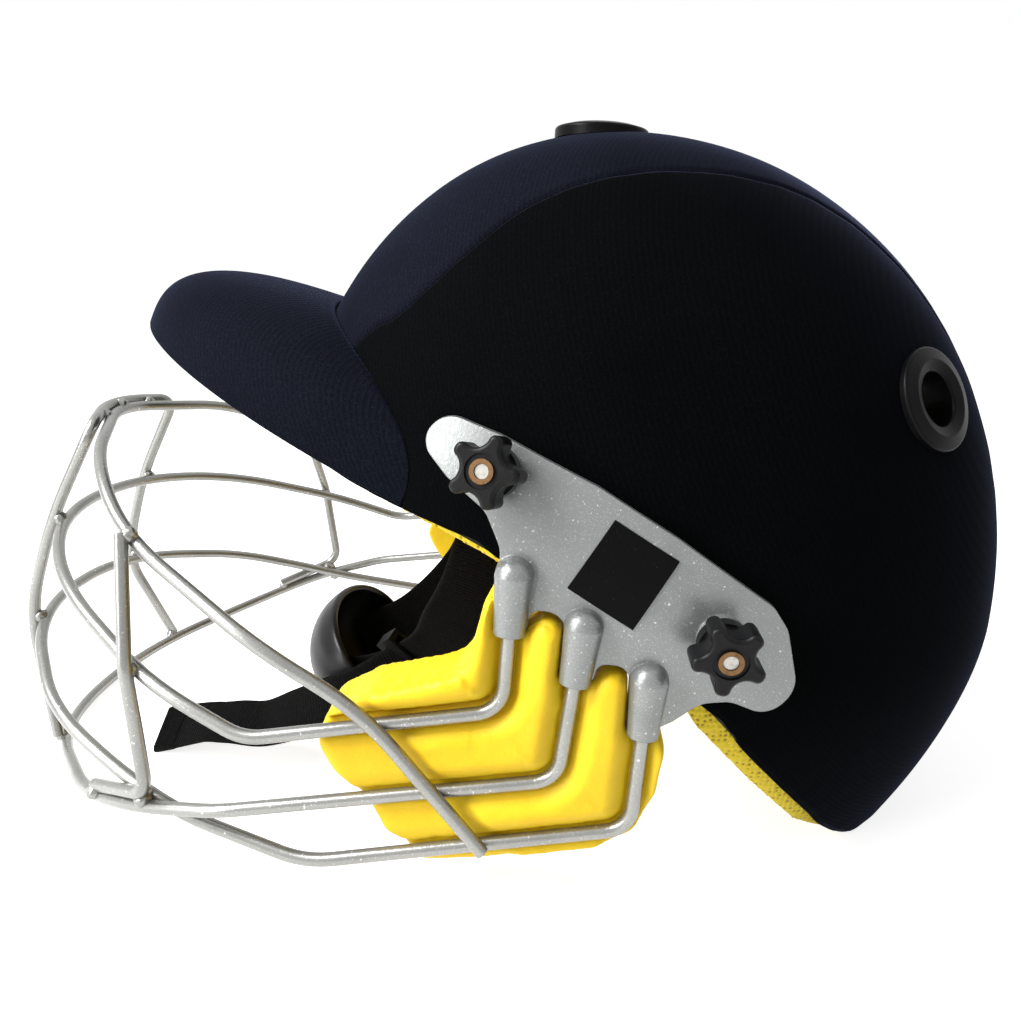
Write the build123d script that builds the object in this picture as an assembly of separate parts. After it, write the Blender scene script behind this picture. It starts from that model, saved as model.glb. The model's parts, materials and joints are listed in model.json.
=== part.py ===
from build123d import *
from math import atan2, copysign, cos, degrees, radians, sin, sqrt, tan
import os

# A batting helmet standing on a table: the nape rim and the lowest grille bar touch it.
# Millimetres. X runs across the head, Y from the face to the nape, Z up from the table.

# Head form: the outside of the cloth, a stack of ovals each made of two half ellipses
shell_half_width = 99.0
shell_front_reach = 130.0
shell_rear_reach = 143.0
shell_centre_y = 54.6
widest_height = 78.5
crown_rise = 160.4
nape_drop = 180.0
lean_share = -0.045
crown_power = 2.06
nape_power = 1.6
crown_turns = (0, 12, 24, 36, 47, 57, 66, 74, 81, 88)
nape_turns = (-36, -27, -18, -9)

# Layers of the shell from the outside in
cloth_thickness = 0.8
glue_gap = 0.15
hard_shell_thickness = 2.5
liner_thickness = 10.0
pad_thickness = 5.0
cloth_seam_gap = 0.3
liner_drop = 3.5
liner_lift = 1.0
rim_shares = ((-1.221, 0.873), (-0.941, 0.829), (-0.417, 0.736), (-0.277, 0.692), (0.157, 0.449),
              (0.283, 0.330), (0.457, 0.162), (0.534, 0.081), (0.639, 0.0))
crown_band_shares = ((0.40, -1.1), (0.511, -0.662), (0.581, -0.536), (0.581, -0.410), (0.525, -0.249),
                     (0.460, -0.018), (0.394, 0.178), (0.323, 0.366), (0.273, 0.667), (0.26, 1.1))

# Comfort pads: (front, rear) as shares of the reach, (low, high) as shares of the crown rise
side_pad_y_shares = (-0.18, 0.36)
side_pad_z_shares = (0.05, 0.86)
brow_pad_y_shares = (-0.95, -0.48)
brow_pad_z_shares = (0.70, 1.02)
nape_pad_y_shares = (0.60, 1.1)
nape_pad_z_shares = (0.03, 0.52)
nape_pad_half_share = 0.46
brow_pad_half_share = 0.62
pad_corner_round = 12.0
crown_pad_radius = 46.0
crown_pad_centre_y = 47.0

# Peak: half of a blunt dome on a plane that tilts up towards the front
peak_half_width = 80.8
peak_length = 131.9
peak_crown = 37.3
peak_power = 2.91
peak_tilt = 23.2
peak_root_y = -4.06
peak_root_z = 116.1
peak_board_thickness = 3.0
peak_turns = (0, 10, 20, 32, 44, 56, 68, 78, 86)

# Vent eyelets, moulded rings with a stem through the shell
eyelet_radius = 16.5
eyelet_bore = 8.5
eyelet_rise = 2.4
eyelet_lip = 4.4
eyelet_stem_wall = 1.6
eyelet_fit = 0.15
eyelet_ring_width = 3.4
eyelet_ring_thickness = 1.8
eyelet_ring_fit = 0.05
crown_eyelet_y = 37.4
rear_eyelet_y = 143.5
rear_eyelet_z = 160.0

# Grille hinge: the rear studs share one line across the head
hinge_y = 79.1
hinge_z = 95.7
front_stud_y = 14.8
front_stud_z = 135.8
stud_radius = 2.0
stud_head_radius = 7.0
stud_head_thickness = 1.2
stud_fit = 0.08
slot_clearance = 0.5
grille_swing = 3.0
normal_step = 0.5

# Side plates
plate_gap = 2.8
plate_thickness = 2.2
plate_length = 114.0
plate_height = 82.0
boss_radius = 6.8
boss_rise = 2.0
front_seat_rise = 0.9
moving_gap = 0.3
boot_length = 18.8
boot_depth = 7.0
boot_open_half_width = 4.5
boot_open_rise = 4.1
boot_closed_half_width = 5.6
boot_closed_rise = 4.9
boot_top_over_rod = 3.3
boot_cap_turns = (80, 68, 56, 44, 32, 20, 8)
rod_fit = 0.05
boot_clearance = 0.35
soft_round = 9.0
tight_round = 0.8
plate_corners = ((0.786, 0.570, soft_round), (0.720, 0.677, soft_round), (0.567, 0.620, soft_round),
                 (0.324, 0.483, soft_round), (0.125, 0.332, soft_round), (-0.126, 0.109, soft_round),
                 (-0.168, 0.029, soft_round), (-0.216, -0.199, soft_round), (-0.151, -0.301, soft_round),
                 (-0.046, -0.241, soft_round), (0.030, -0.252, soft_round), (0.093, -0.332, soft_round),
                 (0.132, -0.366, tight_round), (0.207, -0.366, tight_round), (0.213, -0.125, soft_round),
                 (0.293, -0.125, soft_round), (0.301, -0.190, tight_round), (0.378, -0.190, tight_round),
                 (0.384, 0.044, soft_round), (0.471, 0.044, soft_round), (0.475, -0.030, tight_round),
                 (0.568, -0.030, soft_round), (0.554, 0.238, soft_round), (0.599, 0.363, soft_round),
                 (0.704, 0.459, soft_round))

# Label: a bare square of film on each plate
label_shares = ((0.282, 0.384), (0.120, 0.260), (0.217, 0.013), (0.384, 0.139))
label_thickness = 0.4
label_gap = 0.05

# Star knobs with brass bushes
knob_height = 12.4
knob_arm_reach = 10.3
knob_arms = 5
front_knob_turn = -20.0
rear_knob_turn = 11.0
knob_seat_gap = 0.1
knob_scallop_radius = 4.2
knob_scallop_centre = 10.8
knob_arm_round = 1.9
knob_edge_round = 1.3
knob_hub_radius = 7.4
knob_hub_height = 2.6
knob_dish_radius = 4.9
knob_dish_depth = 0.7
washer_radius = 6.6
washer_thickness = 1.1
washer_fit = 0.1
bush_radius = 2.9
bush_flange_radius = 3.4
bush_flange_thickness = 0.9
stud_end_set_back = 0.3
spacer_radius = 6.2

# Grille rods, as shares of the cage's half width, reach ahead of the hinge line and height
rod_radius = 2.1
cage_overhang = 13.5
cage_reach = 253.0
cage_height = 129.0
bend_share = 0.49
boot_bend = 9.0
side_bend = 20.0
low_bend = 40.0
loop_bend = 8.0
upper_shares = ((0.912, 0.232, 0.862), (0.933, 0.236, 0.531), (0.989, 0.532, 0.433), (0.921, 0.658, 0.519),
                (0.638, 0.841, 0.653), (0.241, 0.942, 0.712))
lower_shares = ((0.934, 0.151, 0.764), (0.945, 0.167, 0.372), (0.987, 0.568, 0.231), (0.912, 0.693, 0.170),
                (0.765, 0.798, 0.100), (0.307, 0.970, 0.016))
middle_shares = ((0.940, 0.074, 0.651), (0.945, 0.078, 0.260), (0.985, 0.463, 0.111),
                 (0.915, 0.633, 0.167), (0.842, 0.725, 0.223), (0.704, 0.849, 0.306),
                 (0.286, 0.989, 0.405))
top_shares = ((0.998, 0.249, 0.194), (0.996, 0.396, 0.537), (0.995, 0.508, 0.661), (0.751, 0.718, 0.829),
              (0.503, 0.808, 0.953), (0.071, 0.887, 0.998))
loop_shares = ((0.421, 0.932, 0.052), (0.325, 0.981, 0.357), (0.319, 0.975, 0.481), (0.300, 0.941, 0.705),
               (0.281, 0.867, 0.997), (0.080, 0.900, 1.016))
post_shares = ((0.785, 0.709, 0.838), (0.917, 0.685, 0.553), (0.946, 0.664, 0.232), (0.805, 0.770, 0.150))

# Chin guards: moulded foam blocks behind the rods
guard_length = 114.5
guard_height = 106.7
guard_inner_x = 89.0
guard_outer_x = 104.2
guard_slant = 3.15
guard_corner_round = 7.0
guard_plate_gap = 0.5
guard_edge_round = 3.0
guard_rod_gap = 0.3
guard_shell_gap = 1.5
guard_rim_gap = 7.5
guard_shares = ((0.551, 1.000), (0.590, 0.904), (0.612, 0.787), (0.640, 0.745), (0.704, 0.722), (0.857, 0.675),
                (0.970, 0.600), (1.000, 0.515), (0.953, 0.422), (0.909, 0.372), (0.857, 0.319), (0.813, 0.240),
                (0.765, 0.206), (0.730, 0.143), (0.556, 0.169), (0.256, 0.234), (0.158, 0.291), (0.111, 0.427),
                (0.102, 0.562), (0.141, 0.637), (0.203, 0.640), (0.211, 0.760), (0.254, 0.793), (0.297, 0.760),
                (0.304, 0.745), (0.372, 0.745), (0.381, 0.885), (0.424, 0.924), (0.468, 0.885), (0.479, 0.860))

# Chin strap: flat webbing from a rivet in each temple to a moulded cup
strap_width = 20.0
strap_thickness = 1.5
rivet_y = 12.0
rivet_z = 116.0
rivet_radius = 2.0
rivet_head_radius = 5.0
rivet_head_thickness = 1.0
strap_plane_x = 71.0
strap_drop = 86.0
strap_shares = ((1.0, 0.0, 0.0), (0.975, 0.08, 0.28), (0.82, 0.17, 0.49), (0.62, 0.26, 0.70), (0.40, 0.48, 0.92),
                (0.28, 0.755, 1.055))
strap_width_shares = ((0.0, -0.96, 0.28), (0.05, -0.93, 0.35), (0.1, -0.88, 0.45), (0.1, -0.80, 0.6),
                      (0.0, -0.70, 0.70), (0.0, -0.70, 0.70))
cup_half_width = 36.0
cup_depth = 26.0
cup_half_height = 25.0
cup_wall = 3.0
cup_tilt = 37.0
cup_forward = 43.0
cup_above_table = 35.0
tail_length = 101.0
tail_start_y = 20.0
tail_shares = ((0.66, 0.18, 0.41), (0.64, 0.42, 0.28), (0.57, 0.68, 0.18), (0.49, 1.0, 0.056))
tail_width_shares = ((0.8, 0.3, -0.5), (0.93, 0.0, -0.35), (0.93, 0.1, -0.33), (0.85, 0.42, -0.3))
slider_length = 9.0
slider_width = 27.0
slider_thickness = 5.8
slider_slot_gap = 1.0

overrun = 60.0
far = 400.0
cage_half_width = shell_half_width + cage_overhang
plate_stand = plate_gap + plate_thickness
front_seat = plate_stand + front_seat_rise
rear_seat = plate_stand + boss_rise
shell_depth = cloth_thickness + glue_gap + hard_shell_thickness
liner_depth = shell_depth + glue_gap + liner_thickness
shell_top = widest_height + crown_rise


def section_share(height, grow):
    """How large the oval at this height over the widest one is, and its centre in Y."""
    rise = (crown_rise if height >= 0 else nape_drop) + grow
    power = crown_power if height >= 0 else nape_power
    share = (1 - (abs(height) / rise) ** power) ** (1 / power)
    return share, shell_centre_y + lean_share * height


def skin_x(y, z, grow):
    """Half width of the grown head form at one place of the side view."""
    share, centre = section_share(z - widest_height, grow)
    reach = (shell_front_reach if y < centre else shell_rear_reach) + grow
    return (shell_half_width + grow) * share * sqrt(1 - ((y - centre) / (reach * share)) ** 2)


def skin_normal(y, z):
    """Outward direction of the head form at one place of the side view."""
    along_y = (skin_x(y + normal_step, z, 0) - skin_x(y, z, 0)) / normal_step
    along_z = (skin_x(y, z + normal_step, 0) - skin_x(y, z, 0)) / normal_step
    return Vector(1, -along_y, -along_z).normalized()


def oval(height, share, grow):
    """One level of the head form."""
    wide = (shell_half_width + grow) * share
    rear = (shell_rear_reach + grow) * share
    front = (shell_front_reach + grow) * share
    rear_half = EllipticalCenterArc((0, 0), wide, rear, start_angle=0, arc_size=180)
    front_half = EllipticalCenterArc((0, 0), wide, front, start_angle=180, arc_size=180)
    place = Plane((0, shell_centre_y + lean_share * height, widest_height + height))
    return place * Face(Wire([rear_half, front_half]))


def head_form(grow):
    """The closed head form with every half axis grown by the same length."""
    ovals = []
    for turn in nape_turns + crown_turns:
        power = crown_power if turn >= 0 else nape_power
        rise = (crown_rise if turn >= 0 else nape_drop) + grow
        height = copysign(rise * abs(sin(radians(turn))) ** (2 / power), turn)
        ovals.append(oval(height, cos(radians(turn)) ** (2 / power), grow))
    return loft(ovals)


def layer(outer_grow, inner_grow):
    """The skin between two grown head forms."""
    return head_form(outer_grow) - head_form(inner_grow)


def side_slab(edges, x_from, x_to):
    """A side-view outline in Y and Z, extruded across the head."""
    outline = Face(Wire(edges))
    face = Plane((x_from, 0, 0), x_dir=(0, 1, 0), z_dir=(1, 0, 0)) * outline
    return extrude(face, amount=x_to - x_from, dir=(1, 0, 0))


def rim_region(drop):
    """All the space over the rim curve, the curve moved down by a drop."""
    points = [(shell_centre_y + a * shell_rear_reach, b * crown_rise - drop) for a, b in rim_shares]
    back = shell_centre_y + shell_rear_reach + overrun
    top = shell_top + overrun
    corners = [points[-1], (back, points[-1][1]), (back, top), (points[0][0], top), points[0]]
    edges = [Spline(*points)] + [Line(a, b) for a, b in zip(corners, corners[1:])]
    wide = shell_half_width + overrun
    return side_slab(edges, -wide, wide)


def block(y_low, y_high, z_low, z_high, x_low, x_high):
    """A box between named places."""
    size = (x_high - x_low, y_high - y_low, z_high - z_low)
    return Pos((x_low + x_high) / 2, (y_low + y_high) / 2, (z_low + z_high) / 2) * Box(*size)


def both_sides(solid):
    """The left piece and its mirror image."""
    return solid, mirror(solid, about=Plane.YZ)


def crown_band_prism(widen):
    """The plan view of the middle cloth panel, widened by a seam gap and extruded upwards."""
    left = [(a * shell_half_width + widen, shell_centre_y + b * shell_rear_reach) for a, b in crown_band_shares]
    right = [(-x, y) for x, y in reversed(left)]
    edges = [Spline(*left), Line(left[-1], right[0]), Spline(*right), Line(right[-1], left[0])]
    return extrude(Face(Wire(edges)), amount=shell_top + overrun, dir=(0, 0, 1))


def eyelet_frame(y, z):
    """Where a rear eyelet's axis meets the cloth, square to it."""
    return Plane((skin_x(y, z, 0), y, z), z_dir=skin_normal(y, z))


def crown_frame():
    """Where the crown eyelet's axis meets the cloth."""
    back_share = (crown_eyelet_y - section_share(crown_rise, 0)[1]) / shell_front_reach
    height = crown_rise * (1 - abs(back_share) ** crown_power) ** (1 / crown_power)
    return Plane((0, crown_eyelet_y, widest_height + height))


def eyelet_profile():
    """Half of the ring's section: a rounded lip round a stem."""
    stem = eyelet_bore + eyelet_stem_wall
    low = -liner_depth + glue_gap
    corners = [(eyelet_bore, low), (stem, low), (stem, -eyelet_rise), (eyelet_radius, -eyelet_rise),
               (eyelet_radius, eyelet_rise / 2), (eyelet_radius - eyelet_lip, eyelet_rise),
               (eyelet_bore, eyelet_rise / 2)]
    face = make_face(Polyline(*corners, close=True))
    rounded = [v for v in face.vertices() if v.Y > 0]
    return fillet(rounded, eyelet_lip / 4)


def eyelet(frame):
    """A ring whose flange is cut to the cloth and whose stem reaches through the shell."""
    ring = frame * revolve(Plane.XZ * eyelet_profile(), Axis.Z)
    stem = frame * drill(eyelet_bore + eyelet_stem_wall, -overrun, overrun)
    return (ring - (head_form(glue_gap) - stem)).solids().sort_by(SortBy.VOLUME)[-1]


def drill(radius, low, high):
    """A cylinder along the local Z axis between two levels."""
    return Pos(0, 0, (low + high) / 2) * Cylinder(radius, high - low)


def tube(outer, inner, low, high):
    """A ring along the local Z axis between two levels."""
    return drill(outer, low, high) - drill(inner, low, high)


eyelet_frames = [crown_frame(), eyelet_frame(rear_eyelet_y, rear_eyelet_z)]
rear_mirror_frame = Plane((-eyelet_frames[1].origin.X, eyelet_frames[1].origin.Y, eyelet_frames[1].origin.Z),
                          z_dir=(-eyelet_frames[1].z_dir.X, eyelet_frames[1].z_dir.Y, eyelet_frames[1].z_dir.Z))
eyelet_frames.append(rear_mirror_frame)
front_normal = skin_normal(front_stud_y, front_stud_z)
front_stud_frame = Plane((skin_x(front_stud_y, front_stud_z, 0), front_stud_y, front_stud_z), z_dir=front_normal)
rear_stud_frame = Plane((skin_x(hinge_y, hinge_z, 0), hinge_y, hinge_z), z_dir=(1, 0, 0))


def cut_everywhere(solid, radius, low, high):
    """Takes the stud holes out of a skin on both sides."""
    for frame in (front_stud_frame, rear_stud_frame):
        hole = frame * drill(radius, low, high)
        solid = solid - hole - mirror(hole, about=Plane.YZ)
    return solid


def cut_eyelets(solid, radius, low, high):
    """Takes the eyelet holes out of a skin."""
    for frame in eyelet_frames:
        solid = solid - frame * drill(radius, low, high)
    return solid


def cut_rivets(solid, radius, x_low, x_high):
    """Takes the strap rivet holes out of a skin on both sides."""
    place = Plane((0, rivet_y, rivet_z), z_dir=(1, 0, 0))
    hole = place * drill(radius, x_low, x_high)
    return solid - hole - mirror(hole, about=Plane.YZ)


def make_shell():
    """The hard shell, the cloth panels and the foam liner."""
    rim = rim_region(0)
    stem_hole = eyelet_bore + eyelet_stem_wall + eyelet_fit
    hard = layer(-cloth_thickness - glue_gap, -shell_depth) & rim
    cloth = layer(0, -cloth_thickness) & rim
    skins = []
    for skin in (hard, cloth):
        skin = cut_everywhere(skin, stud_radius + stud_fit, -overrun, overrun)
        skins.append(cut_eyelets(skin, stem_hole, -overrun, overrun))
    hard, cloth = skins
    hard = cut_rivets(hard, rivet_radius + stud_fit, strap_plane_x, far)
    crown = cloth & crown_band_prism(0)
    sides = (cloth - crown_band_prism(cloth_seam_gap)).solids().sort_by(Axis.X)
    part = {"hard_shell": hard, "cover_crown": crown, "cover_right": sides[0], "cover_left": sides[-1]}
    above_table = block(-far, far, liner_lift, far, -far, far)
    liner = layer(-shell_depth - glue_gap, -liner_depth) & rim_region(liner_drop) & above_table
    head_pocket = stud_head_radius + slot_clearance
    liner = cut_everywhere(liner, head_pocket, -shell_depth - 2 * stud_head_thickness, 0)
    ring_pocket = eyelet_bore + eyelet_stem_wall + eyelet_ring_width + slot_clearance
    liner = cut_eyelets(liner, ring_pocket, -shell_depth - 2 * eyelet_ring_thickness, 0)
    liner = cut_eyelets(liner, stem_hole, -overrun, 0)
    part["foam_liner"] = cut_rivets(liner, rivet_radius + stud_fit, strap_plane_x, far)
    return part


def rounded_prism(width, height, place, reach):
    """A rounded rectangle on a plane, extruded both ways."""
    sketch = RectangleRounded(width, height, pad_corner_round)
    return extrude(place * sketch, amount=reach, both=True)


def make_pads():
    """The comfort pads stuck to the liner."""
    outer = -liner_depth - glue_gap
    skin = layer(outer, outer - pad_thickness) & rim_region(liner_drop)

    def spans(y_shares, z_shares):
        ys = [shell_centre_y + share * shell_rear_reach for share in y_shares]
        zs = [share * crown_rise for share in z_shares]
        return ys[1] - ys[0], sum(ys) / 2, zs[1] - zs[0], sum(zs) / 2

    long, mid_y, tall, mid_z = spans(side_pad_y_shares, side_pad_z_shares)
    place = Plane((shell_half_width, mid_y, mid_z), x_dir=(0, 1, 0), z_dir=(1, 0, 0))
    side = skin & rounded_prism(long, tall, place, shell_half_width / 2)
    brow_wide = 2 * brow_pad_half_share * shell_half_width
    long, mid_y, tall, mid_z = spans(brow_pad_y_shares, brow_pad_z_shares)
    place = Plane((0, mid_y, mid_z), x_dir=(1, 0, 0), z_dir=(0, 1, 0))
    brow = skin & rounded_prism(brow_wide, tall, place, long / 2)
    nape_wide = 2 * nape_pad_half_share * shell_half_width
    long, mid_y, tall, mid_z = spans(nape_pad_y_shares, nape_pad_z_shares)
    place = Plane((0, mid_y, mid_z), x_dir=(1, 0, 0), z_dir=(0, 1, 0))
    nape = skin & rounded_prism(nape_wide, tall, place, long / 2)
    post = Pos(0, crown_pad_centre_y, shell_top) * Cylinder(crown_pad_radius, crown_rise)
    crown = cut_eyelets(skin & post, eyelet_bore + eyelet_fit, -overrun, 0)
    left, right = both_sides(side)
    return {"side_pad_left": left, "side_pad_right": right, "brow_pad": brow, "nape_pad": nape, "crown_pad": crown}


def make_eyelets():
    """The vent rings and their retainers inside the shell."""
    names = ("crown_eyelet", "rear_eyelet_left", "rear_eyelet_right")
    part = {name: eyelet(frame) for name, frame in zip(names, eyelet_frames)}
    stem = eyelet_bore + eyelet_stem_wall
    low = -shell_depth - 2 * eyelet_ring_thickness + glue_gap
    inside = head_form(-shell_depth - glue_gap)
    bore = stem + eyelet_ring_fit
    rings = [frame * tube(stem + eyelet_ring_width, bore, low, 0) & inside for frame in eyelet_frames]
    part["eyelet_retainers"] = [ring.solids()[0] for ring in rings]
    return part


def visor(grow):
    """The peak's blunt half dome, every half axis grown by the same length."""
    tilt = radians(peak_tilt)
    up = Vector(0, sin(tilt), cos(tilt))
    sections = []
    for turn in peak_turns:
        share = cos(radians(turn)) ** (2 / peak_power)
        height = (peak_crown + grow) * sin(radians(turn)) ** (2 / peak_power)
        wide = (peak_half_width + grow) * share
        long = (peak_length + grow) * share
        front = EllipticalCenterArc((0, 0), wide, long, start_angle=180, arc_size=180)
        chord = Line((wide, 0), (-wide, 0))
        place = Plane(Vector(0, peak_root_y, peak_root_z) + up * height, x_dir=(1, 0, 0), z_dir=up)
        sections.append(place * Face(Wire([front, chord])))
    return loft(sections)


def make_peak():
    """Cloth, board and lining of the peak, cut to the head form."""
    head = head_form(glue_gap)
    tilt = radians(peak_tilt)
    up = Vector(0, sin(tilt), cos(tilt))
    edge = Plane((0, peak_root_y, peak_root_z), x_dir=(1, 0, 0), z_dir=up)
    edge_level = Pos(0, 0, cloth_thickness + glue_gap)
    above = edge * edge_level * Pos(0, 0, far / 2) * Box(far, far, far)
    below = edge * Pos(0, 0, cloth_thickness - far / 2) * Box(far, far, far)
    board_top = -cloth_thickness - glue_gap
    board_under = board_top - peak_board_thickness
    lining_top = board_under - glue_gap
    lining_under = lining_top - cloth_thickness
    top = visor(0) - visor(-cloth_thickness) - head
    board = ((visor(board_top) - visor(board_under)) & above) - head
    lining = visor(lining_top) - visor(lining_under)
    hem = (visor(board_top) - visor(lining_top)) & below
    under = (lining + hem) - head
    return {"peak_cover_top": top, "peak_board": board, "peak_cover_under": under}


def rod_points(shares):
    """Corner points of a rod on the wearer's left half."""
    return [Vector(a * cage_half_width, hinge_y - b * cage_reach, c * cage_height) for a, b, c in shares]


def bend_radii(points, caps, closed=False):
    """The largest bend at each corner that its two runs leave room for, up to its cap."""
    count = len(points)
    corners = range(count) if closed else range(1, count - 1)
    radii = []
    for i in corners:
        before = points[i] - points[i - 1]
        after = points[(i + 1) % count] - points[i]
        turn = radians(before.get_angle(after))
        room = bend_share * min(before.length, after.length) / tan(turn / 2)
        radii.append(min(room, caps.get(i, far)))
    return radii


def smooth_path(points, caps):
    """Straight runs joined by round bends."""
    return FilletPolyline(*points, radius=bend_radii(points, caps)).wire()


def whole_path(shares, caps):
    """A bar that runs from the left boot round the face to the right boot."""
    half = rod_points(shares)
    points = half + [Vector(-p.X, p.Y, p.Z) for p in reversed(half)]
    last = len(points) - 1
    mirrored = {last - i: cap for i, cap in caps.items()}
    return smooth_path(points, {**caps, **mirrored})


def round_bar(path, radius):
    """A round bar along a path."""
    return sweep(Plane(path @ 0, z_dir=path % 0) * Circle(radius), path=path)


booted_rods = ("grille_upper_bar", "grille_lower_bar", "grille_middle_bar")


def cage_paths():
    """Every grille rod's centre line."""
    return {
        "grille_upper_bar": whole_path(upper_shares, {1: boot_bend, 2: side_bend}),
        "grille_lower_bar": whole_path(lower_shares, {1: boot_bend, 2: low_bend}),
        "grille_middle_bar": whole_path(middle_shares, {1: boot_bend, 2: low_bend}),
        "grille_top_bar": whole_path(top_shares, {}),
        "grille_centre_loop": whole_path(loop_shares, {4: loop_bend}),
        "grille_post_left": smooth_path(rod_points(post_shares), {1: side_bend, 2: loop_bend}),
    }


def plate_outline(grow):
    """The side plate's outline in the side view."""
    corners = [Vector(hinge_y - a * plate_length, hinge_z + b * plate_height, 0) for a, b, cap in plate_corners]
    caps = {i: corner[2] for i, corner in enumerate(plate_corners)}
    radii = bend_radii(corners, caps, closed=True)
    outline = Face(FilletPolyline(*corners, radius=radii, close=True).wire())
    return offset(outline, grow) if grow else outline


def side_prism(outline, x_low, x_high):
    """A side-view face extruded across the head."""
    place = Plane((x_low, 0, 0), x_dir=(0, 1, 0), z_dir=(1, 0, 0))
    return extrude(place * outline, amount=x_high - x_low, dir=(1, 0, 0))


def boot_section(level, wide, rise):
    """A socket's section: half an oval over a flank that runs back to the plate."""
    top = EllipticalCenterArc((0, 0), rise, wide, start_angle=270, arc_size=180)
    corners = [(0, wide), (-boot_depth, wide), (-boot_depth, -wide), (0, -wide)]
    sides = [Line(a, b) for a, b in zip(corners, corners[1:])]
    return Pos(0, 0, level) * Face(Wire([top] + sides))


def boot(points, grow):
    """A rod's socket: wide at its closed round end, narrower where the rod comes out."""
    wide = boot_closed_half_width + grow
    rise = boot_closed_rise + grow
    shoulder = boot_closed_half_width - boot_top_over_rod
    sections = []
    for turn in boot_cap_turns:
        share = cos(radians(turn))
        sections.append(boot_section(shoulder - wide * sin(radians(turn)), wide * share, rise * share))
    sections.append(boot_section(boot_length + grow, boot_open_half_width + grow, boot_open_rise + grow))
    return Plane(points[0], x_dir=(1, 0, 0), z_dir=points[1] - points[0]) * loft(sections, ruled=True)


def front_slot():
    """The curved slot that lets the front stud pass while the grille tilts."""
    y, z = front_stud_y - hinge_y, front_stud_z - hinge_z
    middle = degrees(atan2(z, y))
    arc = CenterArc((hinge_y, hinge_z), sqrt(y * y + z * z), middle - grille_swing, 2 * grille_swing)
    slot = SlotArc(arc, 2 * (stud_radius + slot_clearance))
    place = Plane((front_stud_frame.origin.X, 0, 0), x_dir=(0, 1, 0), z_dir=(1, 0, 0))
    return extrude(place * slot, amount=overrun / 2, dir=front_normal, both=True)


def make_plates(paths):
    """The side plates with their boots, and the bare labels on them."""
    plate = layer(plate_stand, plate_gap) & side_prism(plate_outline(0), shell_half_width / 2, far)
    inner = head_form(plate_gap)
    for shares in (upper_shares, lower_shares, middle_shares):
        plate = plate + (boot(rod_points(shares), 0) - inner)
    plate = plate + (rear_stud_frame * drill(boss_radius, 0, rear_seat - moving_gap) - inner)
    plate = plate - rear_stud_frame * drill(stud_radius + stud_fit, -overrun, overrun) - front_slot()
    for name in booted_rods:
        plate = plate - round_bar(paths[name], rod_radius + rod_fit)
    plate = plate.solids().sort_by(SortBy.VOLUME)[-1]
    corners = [(hinge_y - a * plate_length, hinge_z + b * plate_height) for a, b in label_shares]
    label_prism = side_prism(Face(Polyline(*corners, close=True).wire()), shell_half_width / 2, far)
    low = plate_stand + label_gap
    label = layer(low + label_thickness, low) & label_prism
    plates, labels = both_sides(plate), both_sides(label)
    return {"side_plate_left": plates[0], "side_plate_right": plates[1],
            "label_left": labels[0], "label_right": labels[1]}


def make_guard(paths):
    """The moulded foam block behind the rods on one side."""
    corners = [Vector(hinge_y - a * guard_length, b * guard_height, 0) for a, b in guard_shares]
    caps = {i: guard_corner_round for i in range(len(corners))}
    radii = bend_radii(corners, caps, closed=True)
    outline = Face(FilletPolyline(*corners, radius=radii, close=True).wire())
    guard = side_prism(outline, guard_inner_x, far)
    slant = Pos(guard_outer_x, hinge_y, 0) * Rot(0, 0, guard_slant)
    outside = slant * Pos(far / 2, 0, 0) * Box(far, 2 * far, 2 * far)
    guard = guard - outside
    edges = guard.faces().sort_by(Axis.X)[-1].edges()
    guard = fillet(edges, guard_edge_round)
    for name in booted_rods:
        guard = guard - round_bar(paths[name], rod_radius + guard_rod_gap)
    for shares in (upper_shares, lower_shares, middle_shares):
        guard = guard - boot(rod_points(shares), boot_clearance)
    near_plate = layer(plate_stand + guard_plate_gap, plate_gap - guard_plate_gap)
    guard = guard - (near_plate & side_prism(plate_outline(guard_plate_gap), shell_half_width / 2, far))
    guard = guard - (head_form(guard_shell_gap) & rim_region(guard_rim_gap))
    return guard.solids().sort_by(SortBy.VOLUME)[-1]


def make_cage(paths):
    """The welded rods and the foam guards."""
    part = {name: round_bar(path, rod_radius) for name, path in paths.items()}
    part["grille_post_right"] = mirror(part["grille_post_left"], about=Plane.YZ)
    part["chin_guard_left"], part["chin_guard_right"] = both_sides(make_guard(paths))
    return part


def star_knob():
    """A star grip on a round hub, bored for its bush."""
    star = Circle(knob_arm_reach)
    for i in range(knob_arms):
        turn = radians(90 + (i + 0.5) * 360 / knob_arms)
        centre = (knob_scallop_centre * cos(turn), knob_scallop_centre * sin(turn))
        star = star - Pos(*centre) * Circle(knob_scallop_radius)
    star = fillet(star.vertices(), knob_arm_round)
    grip = extrude(Pos(0, 0, knob_hub_height) * star, amount=knob_height - knob_hub_height)
    rims = grip.edges().filter_by(lambda e: abs(e.center().Z - knob_hub_height) < glue_gap
                                  or abs(e.center().Z - knob_height) < glue_gap)
    grip = fillet(rims, knob_edge_round)
    knob = grip + drill(knob_hub_radius, 0, knob_hub_height + knob_edge_round)
    knob = knob - drill(knob_dish_radius, knob_height - knob_dish_depth, knob_height + overrun)
    return knob - drill(bush_radius, -overrun, overrun)


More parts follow.
